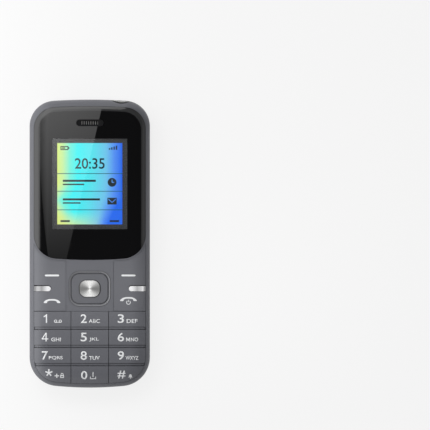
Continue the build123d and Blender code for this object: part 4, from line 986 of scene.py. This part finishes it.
# Loudspeaker and its gauze
# A black oval speaker behind the slits of the cover. The gauze over it is woven from
# fine black wire, and is glued inside the cover.
dress(inner_finish, "loudspeaker")
gauze_low, gauze_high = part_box("speaker_mesh")
gauze_middle = (gauze_low + gauze_high) / 2
gauze = Pattern(
    "speaker_gauze",
    Width=gauze_high.x - gauze_low.x, Length=gauze_high.y - gauze_low.y, Pitch=0.34 * mm,
    Wire=(gauze_high.z - gauze_low.z) / 2, Middle=tuple(gauze_middle))
layers = []
for run, across_run, axis, turn, rise in (("Width", "Length", "Y", (0, pi / 2, 0), 0.25),
                                          ("Length", "Width", "X", (pi / 2, 0, 0), -0.25)):
    spread = gauze.size(across_run) - gauze.size("Wire")
    count = (spread / gauze.size("Pitch")).maths("FLOOR")
    wire = gauze.node("GeometryNodeMeshCylinder", {}, {
        "Vertices": 6, "Radius": gauze.size("Wire") * 0.5, "Depth": gauze.size(run)})
    first_wire = {axis: spread * -0.5, "Z": gauze.size("Wire") * rise}
    layers.append(gauze.row(count, first_wire, {axis: spread / (count - 1)}, wire, turn))
woven = gauze.node("GeometryNodeJoinGeometry", {}, {0: layers[0]})
gauze.tree.links.new(layers[1].socket, woven.socket.node.inputs[0])
gauze_finish = metal("blackened_wire", (0.10, 0.10, 0.105), 0.4, (1.0, 1.0, 1.0), 0.3 * mm, 0.2)
speaker_gauze = gauze.piece(woven, gauze_finish, "cover")
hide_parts("speaker_mesh")


# Vibration motor
# A small drum motor in the chassis, drawn from steel, with a sintered tungsten weight
# off centre on its shaft.
dress(pressed_finish, "vibration_motor")
weight_finish = moulded("sintered_tungsten", (0.24, 0.24, 0.25), 0.45, 0.3 * mm, 0.02 * mm, 0.3, metallic=0.9)
dress(weight_finish, "motor_weight")


# Housing screws
# Six zinc plated steel screws through the chassis and the board into the housing. Each
# head has a stamped cross recess.
screw_finish = metal("zinc_plating", (0.50, 0.50, 0.49), 0.34, (1.0, 1.0, 1.0), 0.5 * mm, 0.15)
dress(screw_finish, "housing_screws")


# Floor
# A plain pale floor, that stays white to the camera and keeps the soft shadow.
floor_reach = 4.0
floor_white = (0.84, 0.84, 0.84)
floor_glow = 0.82
floor_mesh = bpy.data.meshes.new("floor")
floor_mesh.from_pydata([(x * floor_reach, y * floor_reach, 0.0) for x, y in ((-1, -1), (1, -1), (1, 1), (-1, 1))],
                       [], [(0, 1, 2, 3)])
floor = put_in_scene("floor", floor_mesh)
floor_finish = Finish("pale_floor", base_color=floor_white, roughness=0.9)
rays = floor_finish.tree.nodes.new("ShaderNodeLightPath")
to_camera, glossy, through = (
    Signal(floor_finish.tree, rays.outputs[f"Is {kind} Ray"]) for kind in ("Camera", "Glossy", "Transmission"))
seen = to_camera.floored(glossy).floored(through)
glow = floor_finish.node("ShaderNodeEmission", {}, {"Color": (1.0, 1.0, 1.0), "Strength": 1.0})
lit = Signal(floor_finish.tree, floor_finish.shader.outputs[0])
mixed = floor_finish.node("ShaderNodeMixShader", {}, {0: seen * floor_glow, 1: lit, 2: glow})
connect(floor_finish.tree.nodes["Material Output"].inputs["Surface"], mixed)
floor_mesh.materials.append(floor_finish.material)


# Light
# A soft white room, dim only straight overhead and a little weaker on the right. Two low
# panels stand left of the phone and a narrow one hangs over the chrome bars. A high one,
# hung aslant, shows as the gleam across the lens.
room_strength = 0.72
least_strength = 0.06
dim_from = 0.88
dim_blur = 0.12
world = bpy.data.worlds.new("soft_room")
bpy.context.scene.world = world
world.use_nodes = True
room = Bench(world.node_tree)
direction = room.node("ShaderNodeTexCoord", output="Generated")
up = room.axis("Z", direction).floored(0.0)
rightward = room.axis("X", direction)
along = room.axis("Y", direction)
to_right = rightward.floored(0.0)
beside_zenith = ((dim_from - up - to_right * 0.25) / dim_blur).floored(0.0).capped(1.0)
stronger_left = 1 - rightward * 0.3 - to_right.capped(0.7) * 0.5
stronger_head = 1 + along * 0.22
room_light = beside_zenith * room_strength * stronger_left * stronger_head + least_strength
white_room = room.node("ShaderNodeLightPath", output="Is Camera Ray")
backdrop = world.node_tree.nodes["Background"]
connect(backdrop.inputs["Color"], (1.0, 1.0, 1.0))
connect(backdrop.inputs["Strength"], room_light * (1 - white_room) + white_room)


def panel(name, centre, size, radiance, turn=0.0):
    """A soft white panel that faces down."""
    lamp = bpy.data.lights.new(name, "AREA")
    lamp.shape = "RECTANGLE"
    lamp.size, lamp.size_y = size
    lamp.energy = radiance * pi * size[0] * size[1]
    hung = put_in_scene(name, lamp)
    hung.location = centre
    hung.rotation_euler = (0, 0, turn)
    hung.visible_camera = False
    return lamp


soft_radiance = 0.9
side_width, side_length = 0.30, 0.20
side_panel_edge = -59 * mm
side_panel_height = 65 * mm
for panel_y in (92 * mm, -126 * mm):
    side_centre = (side_panel_edge - side_width / 2, panel_y, side_panel_height)
    panel("side_panel", side_centre, (side_width, side_length), soft_radiance)

gleam_head = Vector((38.3 * mm, 200.0 * mm))
gleam_foot = Vector((-10.6 * mm, -9.0 * mm))
gleam_width = 0.2
high_panel = 0.25
slant = gleam_head - gleam_foot
away = Vector((-slant.y, slant.x)).normalized()
gleam_middle = (gleam_head + gleam_foot) / 2 + away * gleam_width / 2
gleam_turn = -Vector((0, 1)).angle_signed(slant)
gleam_centre = (gleam_middle.x, gleam_middle.y, high_panel)
gleam = panel("gleam_panel", gleam_centre, (gleam_width, slant.length), 1.0, gleam_turn)

foot_light, head_rise, head_most = 0.22, 4.2, 1.6
edge_light, edge_from, edge_fall, edge_most = 1.2, 0.88, 3.3, 1.3
gleam.use_nodes = True
bench = Bench(gleam.node_tree)
spot = bench.node("ShaderNodeNewGeometry", output="Parametric")
to_head = (bench.axis("Y", spot) * head_rise + foot_light).capped(head_most)
to_edge = (edge_light - (bench.axis("X", spot) - edge_from) * edge_fall).capped(edge_most)
connect(gleam.node_tree.nodes["Emission"].inputs["Strength"], to_head * to_edge)

chrome_panel_height = 60 * mm
chrome_panel_size = (200 * mm, 21 * mm)
panel("chrome_panel", (0.0, bezel_middle, chrome_panel_height), chrome_panel_size, soft_radiance)


# Camera
# It looks straight down on the phone, as the front view of the photograph does.
photo_pixels = 430
pixels_per_metre = 2323
phone_pixel = (89.76, 243.63)
camera_height = 0.6
camera_data = bpy.data.cameras.new("front_camera")
camera_data.type = "ORTHO"
camera_data.ortho_scale = photo_pixels / pixels_per_metre
camera_data.clip_end = 10.0
camera = put_in_scene("front_camera", camera_data)
camera.location = ((photo_pixels / 2 - phone_pixel[0]) / pixels_per_metre,
                   (phone_pixel[1] - photo_pixels / 2) / pixels_per_metre, camera_height)
bpy.context.scene.camera = camera
bpy.context.scene.view_settings.view_transform = "Standard"
